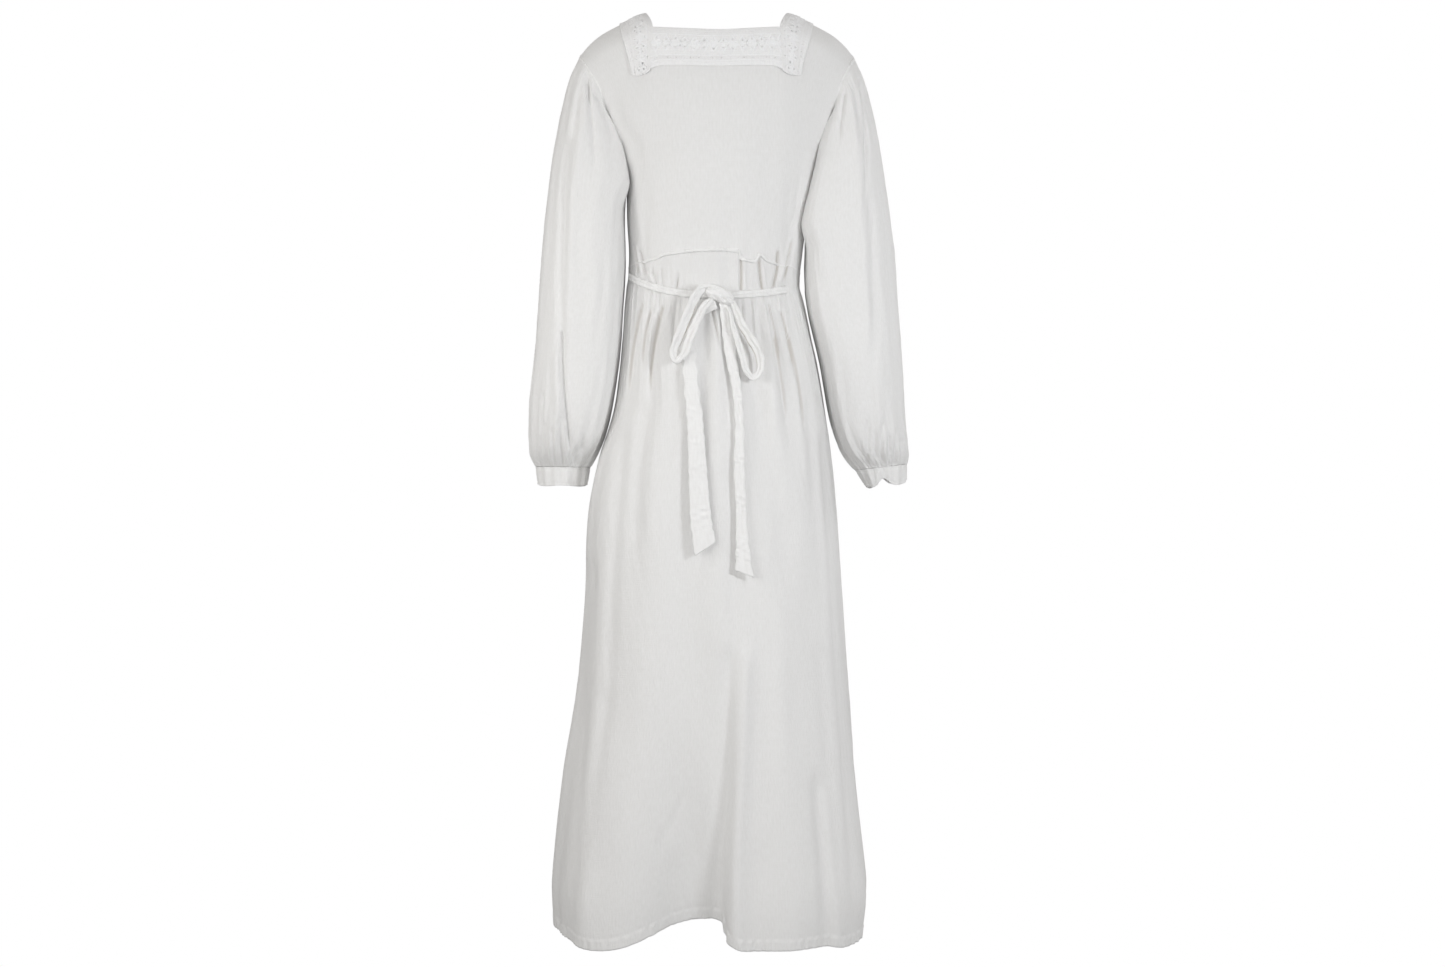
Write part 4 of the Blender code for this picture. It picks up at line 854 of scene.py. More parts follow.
def bodice_parameters(column, row, back):
    """Angle round the body and turn down it at columns and rows of a bodice panel.

    Rows above the underarm follow the armhole, and those below it fall evenly to the waist.
    Columns run from the middle through the neck's and the collar's edge to the armhole.
    """
    edges = BACK_EDGES if back else FRONT_EDGES
    span = ARMHOLE_SPAN_BACK if back else ARMHOLE_SPAN_FRONT
    neck_row = BACK_NECK_ROW if back else FRONT_NECK_ROW
    neck_level = BACK_NECK_LEVEL if back else FRONT_NECK_LEVEL
    share = np.abs(column) / HALF_COLUMNS
    neck_share, collar_share = NECK_COLUMN / HALF_COLUMNS, COLLAR_COLUMN / HALF_COLUMNS
    across = math.radians(90) * column / HALF_COLUMNS
    waist = waist_level(to_body_angle(across, back))
    part = np.interp(row - ARMHOLE_ROWS, range(len(BODICE_WAIST_SHARES)), BODICE_WAIST_SHARES)
    lower = UNDERARM_LEVEL + (waist - UNDERARM_LEVEL) * part
    level = np.where(row <= ARMHOLE_ROWS, armhole_level(row), lower)
    inside = np.clip(1 - (share - neck_share) / 0.25, 0, 1)
    weight = np.clip(1 - np.abs(row - neck_row) / neck_row, 0, 1) * inside
    dip = (BACK_NECK_SAG if back else 0.0) * np.clip(1 - (column / NECK_COLUMN) ** 2, 0, 1)
    level = level + weight * (neck_level - armhole_level(neck_row) - dip)
    left = column >= 0
    neck = angle_across(read(edges, "neck", level), level, left)
    collar = angle_across(read(edges, "collar", level), level, left)
    edge = armhole_angle(level, span)
    near = neck * share / neck_share
    strip = neck + (collar - neck) * (share - neck_share) / (collar_share - neck_share)
    far = collar + (edge - collar) * (share - collar_share) / (1 - collar_share)
    placed = np.where(share <= neck_share, near, np.where(share <= collar_share, strip, far))
    collar_row = BACK_COLLAR_ROW if back else FRONT_COLLAR_ROW
    last_row = ARMHOLE_ROWS + len(BODICE_WAIST_SHARES) - 1
    ease = smooth_step((row - collar_row) / (last_row - collar_row))
    angle = placed + (share * math.pi / 2 - placed) * ease
    return to_body_angle(angle * np.where(column < 0, -1, 1), back), turn_of(level)


def armhole_fullness(points, share):
    """How much further back the cloth lies beside the back of an armhole, most at its edge."""
    level = points[..., 2]
    window = smooth_step((-0.07 - level) / 0.05) * smooth_step((level + 0.214) / 0.035)
    return ARMHOLE_FULLNESS * window * smooth_step((share - 0.70) / 0.30)


def bodice_surface(column, row, back, relief=True):
    """Point and outward normal of a bodice panel, its cloth's relief faded at the armhole."""
    column, row = np.broadcast_arrays(column, row)
    angle, turn = bodice_parameters(column, row, back)
    points, normals = body_surface(angle, turn), body_normals(angle, turn)
    if back:
        points[..., 1] += armhole_fullness(points, np.abs(column) / HALF_COLUMNS)
    if not relief:
        return points, normals
    inward = smooth_step((HALF_COLUMNS - np.abs(column)) / 1.2)
    below = smooth_step(row - ARMHOLE_ROWS)
    fade = inward + (1 - inward) * below
    height = body_relief(points, angle, level_of(turn)) * fade
    from_edge = (HALF_COLUMNS - np.abs(column)) * COLUMN_WIDTH
    ridge = SEAM_RIDGE_HEIGHT * np.exp(-(((from_edge - 0.003) / 0.0022) ** 2))
    height = height + ridge * (1 - below) * (row > 0.2)
    return points + normals * height[..., None], normals


def skirt_levels(column, back):
    """Levels of the skirt's rows at some columns, from the waist seam to the hem."""
    angle = to_body_angle(math.radians(90) * column / HALF_COLUMNS, back)
    tie = tie_level(angle)
    levels = [waist_level(angle), tie + TIE_HEIGHT / 2, tie - TIE_HEIGHT / 2]
    rise = sum(hollow.rise * hollow_shape(angle, hollow) for hollow in HOLLOWS)
    for fall in SKIRT[SKIRT_FIRST_ROW:]:
        near_hem = smooth_step((fall.level - HEM_RISE_FROM) / (HEM_LEVEL - HEM_RISE_FROM))
        levels.append(fall.level + rise * near_hem)
    return angle, np.stack(levels)


def skirt_surface(column, row, back, relief=True):
    """Point and outward normal of a skirt panel, with its turned hem and its stitched line."""
    angle, levels = skirt_levels(column, back)
    below = np.clip(np.floor(row).astype(int), 0, len(levels) - 2)
    part = (row - below)[:, None]
    level = levels[below] * (1 - part) + levels[below + 1] * part
    angle = np.repeat(angle[None, :], len(row), axis=0)
    turn = turn_of(level)
    points, normals = body_surface(angle, turn), body_normals(angle, turn)
    if not relief:
        return points, normals
    height = body_relief(points, angle, level)
    above_hem = level - levels[-1][None, :]
    stitched = np.exp(-(((above_hem - HEM_DEPTH) / STITCH_LINE) ** 2))
    pucker = ripple(BODY_RADIUS * angle, 0 * level, 9, 0.006, 1.0)
    height = height + HEM_STEP * smooth_step((HEM_DEPTH - above_hem) / 0.002)
    height = height - HEM_STEP * stitched * (0.9 + 0.4 * pucker)
    height = height + 0.0005 * pucker * smooth_step((HEM_DEPTH - above_hem) / 0.004)
    tie = tie_level(angle)
    pressed = np.exp(-(((level - tie) / 0.0065) ** 4)) * (np.cos(angle) > -0.05)
    return points + normals * (height * (1 - 0.8 * pressed))[..., None], normals


def armhole_ring(angle, left):
    """Point and body normal on the armhole, from the shoulder at 0 down the back and up."""
    column = np.array(float(HALF_COLUMNS if left else -HALF_COLUMNS))
    wrapped = angle % (2 * math.pi)
    row = ARMHOLE_ROWS * np.minimum(wrapped, 2 * math.pi - wrapped) / math.pi
    behind, behind_normals = bodice_surface(column, row, True, relief=False)
    ahead, ahead_normals = bodice_surface(column, row, False, relief=False)
    back = (wrapped <= math.pi)[..., None]
    return np.where(back, behind, ahead), np.where(back, behind_normals, ahead_normals)


def lean_on_body(points, angle, share, left):
    """Move the inner side of the sleeve's upper part sideways, up to 14 mm toward the body."""
    x, y, z = np.moveaxis(points, -1, 0)
    middle_depth = np.where(y > 0, read(BODY, "back", z), read(BODY, "front", z))
    square = read(BODY, "square", z)
    within = np.clip(1 - np.abs(y / middle_depth) ** square, 0, 1) ** (1 / square)
    gap = np.abs(x) - half_width(z, left) * within - 0.0006
    window = smooth_step(share / 0.04) * smooth_step(((0.27 if left else 0.42) - share) / 0.10)
    touching = np.exp(-((np.abs(angle - 0.84 * math.pi) / 0.86) ** 4))
    x = x - np.sign(x) * np.clip(gap, -0.004, 0.014) * window * touching
    return np.stack([x, y, z], axis=-1)


def sleeve_section(turned, share, left):
    """Oval between the sleeve's outer and inner edge, its inner side fuller than an ellipse's."""
    table = LEFT_SLEEVE if left else RIGHT_SLEEVE
    side = 1.0 if left else -1.0
    outer = [side * read(table, "outer_x", share), read(table, "outer_z", share)]
    inner = [side * read(table, "inner_x", share), read(table, "inner_z", share)]
    flat = smooth_step(share / 0.08) * smooth_step((1.0 - share) / 0.14)
    power = 1 - 0.40 * flat * smooth_step(0.5 - 0.8 * np.cos(turned))
    swing = np.sign(np.cos(turned)) * np.abs(np.cos(turned)) ** power
    sway = np.sign(np.sin(turned)) * np.abs(np.sin(turned)) ** power
    x = (outer[0] + inner[0]) / 2 + swing * (outer[0] - inner[0]) / 2
    z = (outer[1] + inner[1]) / 2 + swing * (outer[1] - inner[1]) / 2
    y = read(table, "middle_y", share) + read(table, "half_depth", share) * sway
    return np.stack([x, y, z], axis=-1)


def sleeve_relief(points, angle, share, left):
    """Creases, wrinkles and fine gathers of a sleeve's cloth, as a height.

    The wrinkles of the first turn fade into those of the next, so that they close round the arm.
    """
    creases = LEFT_SLEEVE_CREASES if left else RIGHT_SLEEVE_CREASES
    behind = 0.35 + 0.65 * smooth_step((np.sin(angle) + 0.2) / 0.4)
    seed = 21 if left else 31
    wrinkle = bpy.context.scene.dress_cloth.wrinkle_height
    girth, down = SLEEVE_RADIUS * angle, SLEEVE_LENGTH * share
    loose = 0.5 + 0.5 * np.sin(math.pi * np.clip(share, 0, 1))
    height = behind * creases_at(points[..., 0], points[..., 2], creases)
    for turns in (0, 1):
        wrap = girth - turns * SLEEVE_RADIUS * 2 * math.pi
        mix = angle / (2 * math.pi) if turns else 1 - angle / (2 * math.pi)
        height = height + mix * wrinkle * loose * ripple(wrap, down, seed, 0.022, 0.16)
        height = height + mix * 0.4 * wrinkle * ripple(wrap, down, seed + 1, 0.008, 0.05)
    near_cuff = smooth_step((share - 0.86) / 0.12)
    cuff_waves = np.cos(3 * ARMHOLE_ROWS * angle + 2 * np.sin(3 * angle))
    near_head = smooth_step((0.10 - share) / 0.08) * np.cos(angle / 2) ** 4
    head_waves = np.cos(4 * ARMHOLE_ROWS * angle + np.sin(2 * angle))
    height = height + 0.0011 * near_cuff * cuff_waves + 0.0008 * near_head * head_waves
    return height * smooth_step(share / 0.04) * smooth_step((1.0 - share) / 0.012 + 0.2)


def sleeve_surface(angle, share, left, relief=True):
    """Sleeve's sections, eased into the armhole's ring, with the gathers of head and cuff."""
    table = LEFT_SLEEVE if left else RIGHT_SLEEVE
    ease = 1 - smooth_step(share / ARMHOLE_FADE)
    plain = sleeve_section(angle, share, left)
    off_ring = armhole_ring(angle, left)[0] - sleeve_section(angle, 0 * share, left)
    points = plain + off_ring * ease[..., None]
    middle = (plain + sleeve_section(angle + math.pi, share, left)) / 2
    outward = unit(points - middle)
    head = np.where(share < 0.5, np.cos(angle / 2) ** 2, 1.0)
    height = read(table, "gather", share) * np.cos(ARMHOLE_ROWS * angle) * head
    if not relief:
        return points + outward * height[..., None]
    height = height + sleeve_relief(points, angle, share, left)
    return lean_on_body(points + outward * height[..., None], angle, share, left)


def grid_normals(points, closed, guide):
    """Normals of a grid of points: one slope crossed with the other, turned as the guide is."""
    if closed:
        along = np.roll(points, -1, axis=1) - np.roll(points, 1, axis=1)
    else:
        along = np.gradient(points, axis=1)
    normals = unit(np.cross(along, np.gradient(points, axis=0)))
    return normals * np.sign(np.sum(normals * guide))


def flat_places(points, closed, width, length):
    """Place of each point on the flat cut: its column across and its row down, in metres."""
    rows, columns = points.shape[:2]
    across = np.linspace(0, width, columns + 1 if closed else columns)
    down = distances(points[:, columns // 2])
    down = down / down[-1] * length
    places = np.empty((rows, len(across), 2))
    places[..., 0] = across[None, :]
    places[..., 1] = -down[:, None]
    return places


def cell_corners(row, next_row, column, next_column, columns):
    """Numbers of the four corners of grid cells, in order round each cell."""
    upper, lower = row * columns, next_row * columns
    return np.stack([upper + column, upper + next_column, lower + next_column, lower + column], axis=1)


def face_slopes(points, faces):
    """Normal of every face, from the two edges at its first corner."""
    first = points[faces[:, 0]]
    return np.cross(points[faces[:, 1]] - first, points[faces[:, 3]] - first)


def build_shell(name, points, normals, thickness, cut, material, kept=None, closed=False, depth=None):
    """Make a closed thin shell: a grid, the same grid moved in along its normals, and rims."""
    rows, columns = points.shape[:2]
    cells = columns if closed else columns - 1
    if kept is None:
        kept = np.ones((rows - 1, cells), bool)
    row, column = np.nonzero(kept)
    quads = cell_corners(row, row + 1, column, (column + 1) % columns, columns)
    places = flat_places(points, closed, *cut)
    spots = cell_corners(row, row + 1, column, column + 1, places.shape[1])
    flat = points.reshape(-1, 3)
    if np.sum(face_slopes(flat, quads) * normals.reshape(-1, 3)[quads[:, 0]]) < 0:
        quads, spots = quads[:, ::-1], spots[:, ::-1]
    count = rows * columns
    starts, ends = quads.ravel(), np.roll(quads, -1, axis=1).ravel()
    near, far = spots.ravel(), np.roll(spots, -1, axis=1).ravel()
    lonely = ~np.isin(starts * count + ends, ends * count + starts)
    first, second = starts[lonely], ends[lonely]
    rims = np.stack([second, first, first + count, second + count], axis=1)
    rim_spots = np.stack([far[lonely], near[lonely], near[lonely], far[lonely]], axis=1)
    faces = np.vstack([quads, quads[:, ::-1] + count, rims])
    spots = np.vstack([spots, spots[:, ::-1], rim_spots])
    inner = points - normals * thickness
    # The depth here is each point's share of painted shade
    depth = np.zeros(count) if depth is None else np.broadcast_to(depth, (rows, columns)).ravel()
    return build_mesh(
        name,
        np.vstack([flat, inner.reshape(-1, 3)]),
        faces,
        places.reshape(-1, 2)[spots.ravel()],
        material,
        np.concatenate([depth, depth]),
    )


def build_mesh(name, points, faces, places, material, depth=None):
    """Put points, four-cornered faces, flat places and shares of painted shade into a new piece."""
    used, renumbered = np.unique(faces, return_inverse=True)
    corners = renumbered.reshape(-1).astype(np.int32)
    mesh = bpy.data.meshes.new(name)
    mesh.vertices.add(len(used))
    mesh.vertices.foreach_set("co", points[used].astype(np.float32).ravel())
    mesh.loops.add(len(corners))
    mesh.loops.foreach_set("vertex_index", corners)
    mesh.polygons.add(len(corners) // 4)
    mesh.polygons.foreach_set("loop_start", np.arange(0, len(corners), 4, dtype=np.int32))
    mesh.update(calc_edges=True)
    layer = mesh.uv_layers.new(name="cloth")
    layer.data.foreach_set("uv", places.astype(np.float32).ravel())
    # Each point's share of painted shade, read by the cloth material
    folded = mesh.attributes.new("fold_depth", "FLOAT", "POINT")
    folded.data.foreach_set("value", (0 * used if depth is None else depth[used]).astype(np.float32))
    mesh.validate()
    mesh.materials.append(material)
    mesh.shade_smooth()
    piece = bpy.data.objects.new(name, mesh)
    bpy.context.scene.collection.objects.link(piece)
    return piece


def place_cloth(piece, node):
    """Let a piece ride on the dress and stand for its solid."""
    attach(piece, "root")
    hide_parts(node)


def make_panel(name, points, normals, cut, depth, kept=None):
    """Make one gauze panel of the bodice or skirt and place it."""
    thickness = bpy.context.scene.dress_cloth.thickness
    # The depth is each point's share of painted shade
    piece = build_shell(
        f"{name}_cloth", points, normals, thickness, cut, gauze_material(), kept, depth=depth
    )
    place_cloth(piece, name)


def make_ring(name, points, thickness, cut):
    """Make a tube of gauze from rings of points, one below the other, and place it."""
    normals = grid_normals(points, True, points - points.mean(axis=1, keepdims=True))
    piece = build_shell(
        f"{name}_cloth", points, normals, thickness, cut, gauze_material(), closed=True
    )
    place_cloth(piece, name)


def new_group(name, inputs, outputs):
    """Make an empty shader node group with named sockets and return it with its two ends."""
    group = bpy.data.node_groups.new(name, "ShaderNodeTree")
    for label, kind, default in inputs:
        socket = group.interface.new_socket(label, in_out="INPUT", socket_type=kind)
        if default is not None:
            socket.default_value = default
    for label, kind in outputs:
        group.interface.new_socket(label, in_out="OUTPUT", socket_type=kind)
    return group, group.nodes.new("NodeGroupInput"), group.nodes.new("NodeGroupOutput")


def add_node(tree, kind, values=None, **settings):
    """Add a shader node with its settings and the values of its inputs."""
    node = tree.nodes.new(kind)
    for name, setting in settings.items():
        setattr(node, name, setting)
    for name, value in (values or {}).items():
        node.inputs[name].default_value = value
    return node


def stretched_noise(group, place, width, length, detail):
    """Noise whose grains have a width across and a length down the cloth."""
    links = group.links
    grain = add_node(group, "ShaderNodeCombineXYZ", {"Z": 1.0})
    links.new(width, grain.inputs["X"])
    links.new(length, grain.inputs["Y"])
    divide = add_node(group, "ShaderNodeVectorMath", operation="DIVIDE")
    links.new(place, divide.inputs[0])
    links.new(grain.outputs["Vector"], divide.inputs[1])
    grains = {"Scale": 1.0, "Detail": detail}
    noise = add_node(group, "ShaderNodeTexNoise", grains, noise_dimensions="2D")
    links.new(divide.outputs["Vector"], noise.inputs["Vector"])
    return noise.outputs["Fac"]


def math_node(group, operation, first, second):
    """One arithmetic node between two sockets or numbers, as its output socket."""
    node = add_node(group, "ShaderNodeMath", operation=operation)
    for slot, value in zip(node.inputs, (first, second)):
        if isinstance(value, (int, float)):
            slot.default_value = value
        else:
            group.links.new(value, slot)
    return node.outputs["Value"]


def gauze_group():
    """Crinkled gauze: long crinkles down the cloth, and uneven threads both ways."""
    if "Crinkled Gauze" in bpy.data.node_groups:
        return bpy.data.node_groups["Crinkled Gauze"]
    group, start, end = new_group(
        "Crinkled Gauze",
        [
            ("Place", "NodeSocketVector", None),
            ("Crinkle Width", "NodeSocketFloat", 0.003),
            ("Crinkle Length", "NodeSocketFloat", 0.05),
            ("Thread Width", "NodeSocketFloat", THREAD_WIDTH),
            ("Thread Length", "NodeSocketFloat", THREAD_LENGTH),
            ("Thread Share", "NodeSocketFloat", GAUZE_THREADS),
        ],
        [("Height", "NodeSocketFloat"), ("Tone", "NodeSocketFloat")],
    )
    place = start.outputs["Place"]
    width, length = start.outputs["Thread Width"], start.outputs["Thread Length"]
    wide, long = start.outputs["Crinkle Width"], start.outputs["Crinkle Length"]
    crinkle = stretched_noise(group, place, wide, long, 2.0)
    warp = stretched_noise(group, place, width, length, 1.0)
    weft = stretched_noise(group, place, length, width, 1.0)
    threads = math_node(group, "ADD", warp, weft)
    weighed = math_node(group, "MULTIPLY", threads, start.outputs["Thread Share"])
    group.links.new(math_node(group, "ADD", crinkle, weighed), end.inputs["Height"])
    toned = math_node(group, "MULTIPLY", threads, TONE_THREADS)
    mixed = math_node(group, "ADD", toned, crinkle)
    group.links.new(math_node(group, "SUBTRACT", mixed, TONE_THREADS), end.inputs["Tone"])
    return group


def cloth_material(name, colour, shade, finish):
    """Matte cotton whose colour and bump follow the gauze group on the piece's flat cut, its colour
    darkened towards the painted shade colour where its points carry painted shade.
    """
    if name in bpy.data.materials:
        return bpy.data.materials[name]
    material = bpy.data.materials.new(name)
    material.use_nodes = True
    tree = material.node_tree
    shader = tree.nodes["Principled BSDF"]
    shader.inputs["Roughness"].default_value = 0.95
    shader.inputs["Specular IOR Level"].default_value = 0.15
    shader.inputs["Sheen Weight"].default_value = 0.15
    shader.inputs["Sheen Roughness"].default_value = 0.6
    place = add_node(tree, "ShaderNodeUVMap", uv_map="cloth")
    gauze = add_node(tree, "ShaderNodeGroup", node_tree=gauze_group())
    gauze.inputs["Crinkle Width"].default_value = finish.grain[0]
    gauze.inputs["Crinkle Length"].default_value = finish.grain[1]
    gauze.inputs["Thread Share"].default_value = finish.threads
    tree.links.new(place.outputs["UV"], gauze.inputs["Place"])
    tint = add_node(tree, "ShaderNodeMix", data_type="RGBA")
    dark = add_node(tree, "ShaderNodeMix", data_type="RGBA")
    tint.inputs["A"].default_value = (*shade, 1.0)
    tint.inputs["B"].default_value = (*colour, 1.0)
    # Painted shade: mixed towards the fold shade colour by each point's share of it
    dark.inputs["B"].default_value = (*bpy.context.scene.dress_cloth.fold_shade_colour, 1.0)
    folded = add_node(tree, "ShaderNodeAttribute", attribute_name="fold_depth")
    bump = add_node(tree, "ShaderNodeBump", {"Strength": 1.0, "Distance": finish.depth})
    tree.links.new(gauze.outputs["Tone"], tint.inputs["Factor"])
    tree.links.new(folded.outputs["Fac"], dark.inputs["Factor"])
    tree.links.new(tint.outputs["Result"], dark.inputs["A"])
    tree.links.new(dark.outputs["Result"], shader.inputs["Base Color"])
    tree.links.new(gauze.outputs["Height"], bump.inputs["Height"])
    tree.links.new(bump.outputs["Normal"], shader.inputs["Normal"])
    return material


def mix_for_camera(tree, lit, seen, end, share=1.0):
    """Show the camera one shader, by a share, and everything else the other."""
    path = add_node(tree, "ShaderNodeLightPath")
    mix = add_node(tree, "ShaderNodeMixShader")
    factor = math_node(tree, "MULTIPLY", path.outputs["Is Camera Ray"], share)
    tree.links.new(factor, mix.inputs["Fac"])
    tree.links.new(lit, mix.inputs[1])
    tree.links.new(seen, mix.inputs[2])
    tree.links.new(mix.outputs["Shader"], tree.nodes[end].inputs["Surface"])


def gauze_material():
    """The dress's own cloth."""
    cloth = bpy.context.scene.dress_cloth
    crinkle = (cloth.crinkle_width, cloth.crinkle_length)
    finish = Finish(crinkle, cloth.crinkle_depth, GAUZE_THREADS)
    return cloth_material("crinkled_gauze", cloth.colour, cloth.shade, finish)


def tie_material():
    """The same cloth sewn into the tie, where it is pressed flatter."""
    cloth = bpy.context.scene.dress_cloth
    return cloth_material("tie_gauze", cloth.double_colour, cloth.double_shade, TIE_FINISH)


def lace_material():
    """Crochet cotton, whose twisted thread shows as a fine grain both ways."""
    lace = bpy.context.scene.dress_lace
    return cloth_material("crochet_lace", lace.colour, lace.shade, LACE_FINISH)


def describe_colour(name, description, default):
    """A colour property."""
    return bpy.props.FloatVectorProperty(
        name=name, description=description, default=default, subtype="COLOR", min=0, max=1
    )


def describe_length(name, description, default):
    """A length property."""
    return bpy.props.FloatProperty(
        name=name,
        description=description,
        default=default,
        unit="LENGTH",
        subtype="DISTANCE",
        precision=5,
    )


def describe_power(name, description, default):
    """The power of a lamp."""
    return bpy.props.FloatProperty(name=name, description=description, default=default, unit="POWER")


def describe_share(name, description, default):
    """A plain number."""
    return bpy.props.FloatProperty(name=name, description=description, default=default)


class DressCloth(bpy.types.PropertyGroup):
    """Sizes and colours of the gauze."""

    thickness: describe_length("Thickness", "Thickness of the gauze as a shell", 0.0009)
    wrinkle_height: describe_length("Wrinkles", "Height of the cloth's soft wrinkles", 0.0004)
    crinkle_width: describe_length("Crinkle width", "Width of one crinkle", 0.0024)
    crinkle_length: describe_length("Crinkle length", "Length of one crinkle", 0.009)
    crinkle_depth: describe_length("Crinkle depth", "Depth of the crinkles", 0.0004)
    colour: describe_colour("Colour", "Colour of the raised threads", (0.855, 0.853, 0.848))
    shade: describe_colour("Shade", "Colour between the threads", (0.79, 0.786, 0.775))
    # Painted shade: the brown that sharp folds, lace recesses and loops' inner edges darken to
    fold_shade_colour: describe_colour("Fold colour", "Colour deep inside a fold", (0.42, 0.36, 0.29))
    double_colour: describe_colour("Double colour", "Colour of doubled cloth", (0.90, 0.90, 0.895))
    double_shade: describe_colour("Double shade", "Shade of doubled cloth", (0.83, 0.825, 0.815))


class DressLace(bpy.types.PropertyGroup):
    """Sizes and colours of the crochet lace."""

    thickness: describe_length("Thickness", "Thickness of the lace", 0.0011)
    pitch: describe_length("Motif pitch", "Distance between the lace's motifs", 0.027)
    mesh: describe_length("Mesh", "Size of one cell of the lace's surface", 0.00089)
    colour: describe_colour("Colour", "Colour of the crochet thread", (1.0, 1.0, 1.0))
    shade: describe_colour("Shade", "Colour between the stitches", (0.92, 0.925, 0.935))


class DressStage(bpy.types.PropertyGroup):
    """Light and floor."""

    key_power: describe_power("Key light", "Power of the key light", 5.6)
    fill_power: describe_power("Fill light", "Power of the light opposite the key", 3.0)
    front_power: describe_power("Front light", "Power of the light behind the camera", 12.0)
    rim_power: describe_power("Rim light", "Power of the light beside the left sleeve", 1.7)
    far_power: describe_power("Far light", "Power of the light on the hidden front", 9.0)
    top_power: describe_power("Top light", "Power of the light over the shoulders", 1.2)
    sky: describe_share("Sky", "Strength of the even light from all round", 0.43)
    floor_level: describe_length("Floor", "Level of the floor under the hem", -1.36)
    floor_colour: describe_colour("Floor colour", "Colour of the floor", (0.55, 0.55, 0.55))
    floor_glow: describe_share("Floor glow", "Share of plain white in the seen floor", 1.0)


def row_counts(rows, panel):
    """How many cells each row of the skirt takes: none too long, the plain lower rows fewer."""
    points, _ = skirt_surface(np.array([3.0, 3.1]), np.arange(rows, dtype=float), panel.back)
    lengths = np.diff(distances(points[:, 0]))
    counts = np.maximum(np.ceil(lengths / panel.down).astype(int), 2)
    counts[PLAIN_SKIRT_ROW:] = np.maximum(counts[PLAIN_SKIRT_ROW:] * 2 // 3, 2)
    counts[-1] = HEM_CELLS
    return counts


class DRESS_OT_bodice(bpy.types.Operator):
    """Make the back and front bodice, each with its neck cut out"""

    bl_idname = "dress.bodice"
    bl_label = "Bodice"

    def execute(self, context):
        last_row = ARMHOLE_ROWS + len(BODICE_WAIST_SHARES) - 1
        for name, panel in BODICE_PANELS.items():
            back = panel.back
            column = spread(BODICE_STOPS, panel.cells)
            row = spread((0, ARMHOLE_ROWS, last_row), (5 * ARMHOLE_ROWS, panel.down))
            points, guide = bodice_surface(column[None, :], row[:, None], back)
            normals = grid_normals(points, False, guide)
            normals[0] = guide[0]
            kept = np.ones((len(row) - 1, len(column) - 1), bool)
            neck_row = BACK_NECK_ROW if back else FRONT_NECK_ROW
            middle = (np.abs(column[1:] + column[:-1]) / 2) < NECK_COLUMN
            above = (row[1:] + row[:-1]) / 2 < neck_row
            kept[np.ix_(above, middle)] = False
            # Painted shade inside the back's sharp folds
            angle, turn = bodice_parameters(column[None, :], row[:, None], back)
            depth = fold_depth(body_surface(angle, turn), angle)
            make_panel(name, points, normals, BODICE_CUT, depth, kept)
        return {"FINISHED"}


class DRESS_OT_skirt(bpy.types.Operator):
    """Make the back and front skirt with their folds and turned hem"""

    bl_idname = "dress.skirt"
    bl_label = "Skirt"

    def execute(self, context):
        rows = len(SKIRT) - SKIRT_FIRST_ROW + 3
        for name, panel in SKIRT_PANELS.items():
            column = np.linspace(-HALF_COLUMNS, HALF_COLUMNS, panel.cells)
            row = spread(np.arange(rows, dtype=float), row_counts(rows, panel))
            points, guide = skirt_surface(column, row, panel.back)
            normals = grid_normals(points, False, guide)
            # Painted shade inside the back's sharp folds
            angle, _ = skirt_levels(column, panel.back)
            depth = fold_depth(points, np.repeat(angle[None, :], len(row), axis=0))
            make_panel(name, points, normals, SKIRT_CUT, depth)
        return {"FINISHED"}


class DRESS_OT_sleeves(bpy.types.Operator):
    """Make both sleeves, gathered at the head and into the cuff"""

    bl_idname = "dress.sleeves"
    bl_label = "Sleeves"

    def execute(self, context):
        thickness = context.scene.dress_cloth.thickness
        turn = np.linspace(0, 2 * math.pi, SLEEVE_COLUMNS, endpoint=False)
        angle, share = np.meshgrid(turn, spread(SLEEVE_STOPS, SLEEVE_CELLS))
        for side, left in SIDES.items():
            points = sleeve_surface(angle, share, left)
            name = f"sleeve_{side}"
            make_ring(name, points, thickness, SLEEVE_CUT)
        return {"FINISHED"}


def cuff_surface(angle, part, left):
    """Ring of the sleeve's end carried down the cuff, narrower, crumpled and creased below."""
    end = sleeve_surface(angle, np.ones_like(angle), left, relief=False)
    above = sleeve_surface(angle, np.full_like(angle, ABOVE_CUFF), left, relief=False)
    centre = end.mean(axis=1, keepdims=True)
    fall = unit(centre - above.mean(axis=1, keepdims=True))
    fall = unit(fall * 0.25 + np.array([0, 0, -0.75]))
    width = 1 - (1 - CUFF_NARROWING) * part
    points = centre + (end - centre) * width[..., None] + fall * CUFF_HEIGHT * part[..., None]
    outward = unit(end - centre)
    crumple = CUFF_CRUMPLE_LEFT if left else CUFF_CRUMPLE_RIGHT
    wave = np.cos(3 * angle + (1.2 if left else 0.3)) + 0.6 * np.cos(5 * angle + 2 + 2 * part)
    height = crumple * wave * part * 0.5
    edge = np.minimum(part, 1 - part) * CUFF_HEIGHT
    height = height - 0.0005 * np.exp(-(((edge - 0.0035) / 0.0012) ** 2))
    height = height + 0.0003 * np.cos(46 * angle) * (1 - part)
    drop = crumple * 0.8 * (np.cos(2 * angle + 0.5) + np.cos(4 * angle)) * part
    points = points + outward * height[..., None]
    points[..., 2] += drop
    if not left:
        notch = np.exp(-(((points[..., 0] - NOTCH_PLACE) / NOTCH_REACH) ** 2))
        lean = smooth_step((points[..., 0] - NOTCH_PLACE - 0.004) / 0.026)
        points[..., 0] -= LOBE_LEAN * lean * part
        points[..., 1] -= NOTCH_DENT * notch * outward[..., 1] * part
        points[..., 2] += (NOTCH_RISE * notch + 0.0010) * part
    return points


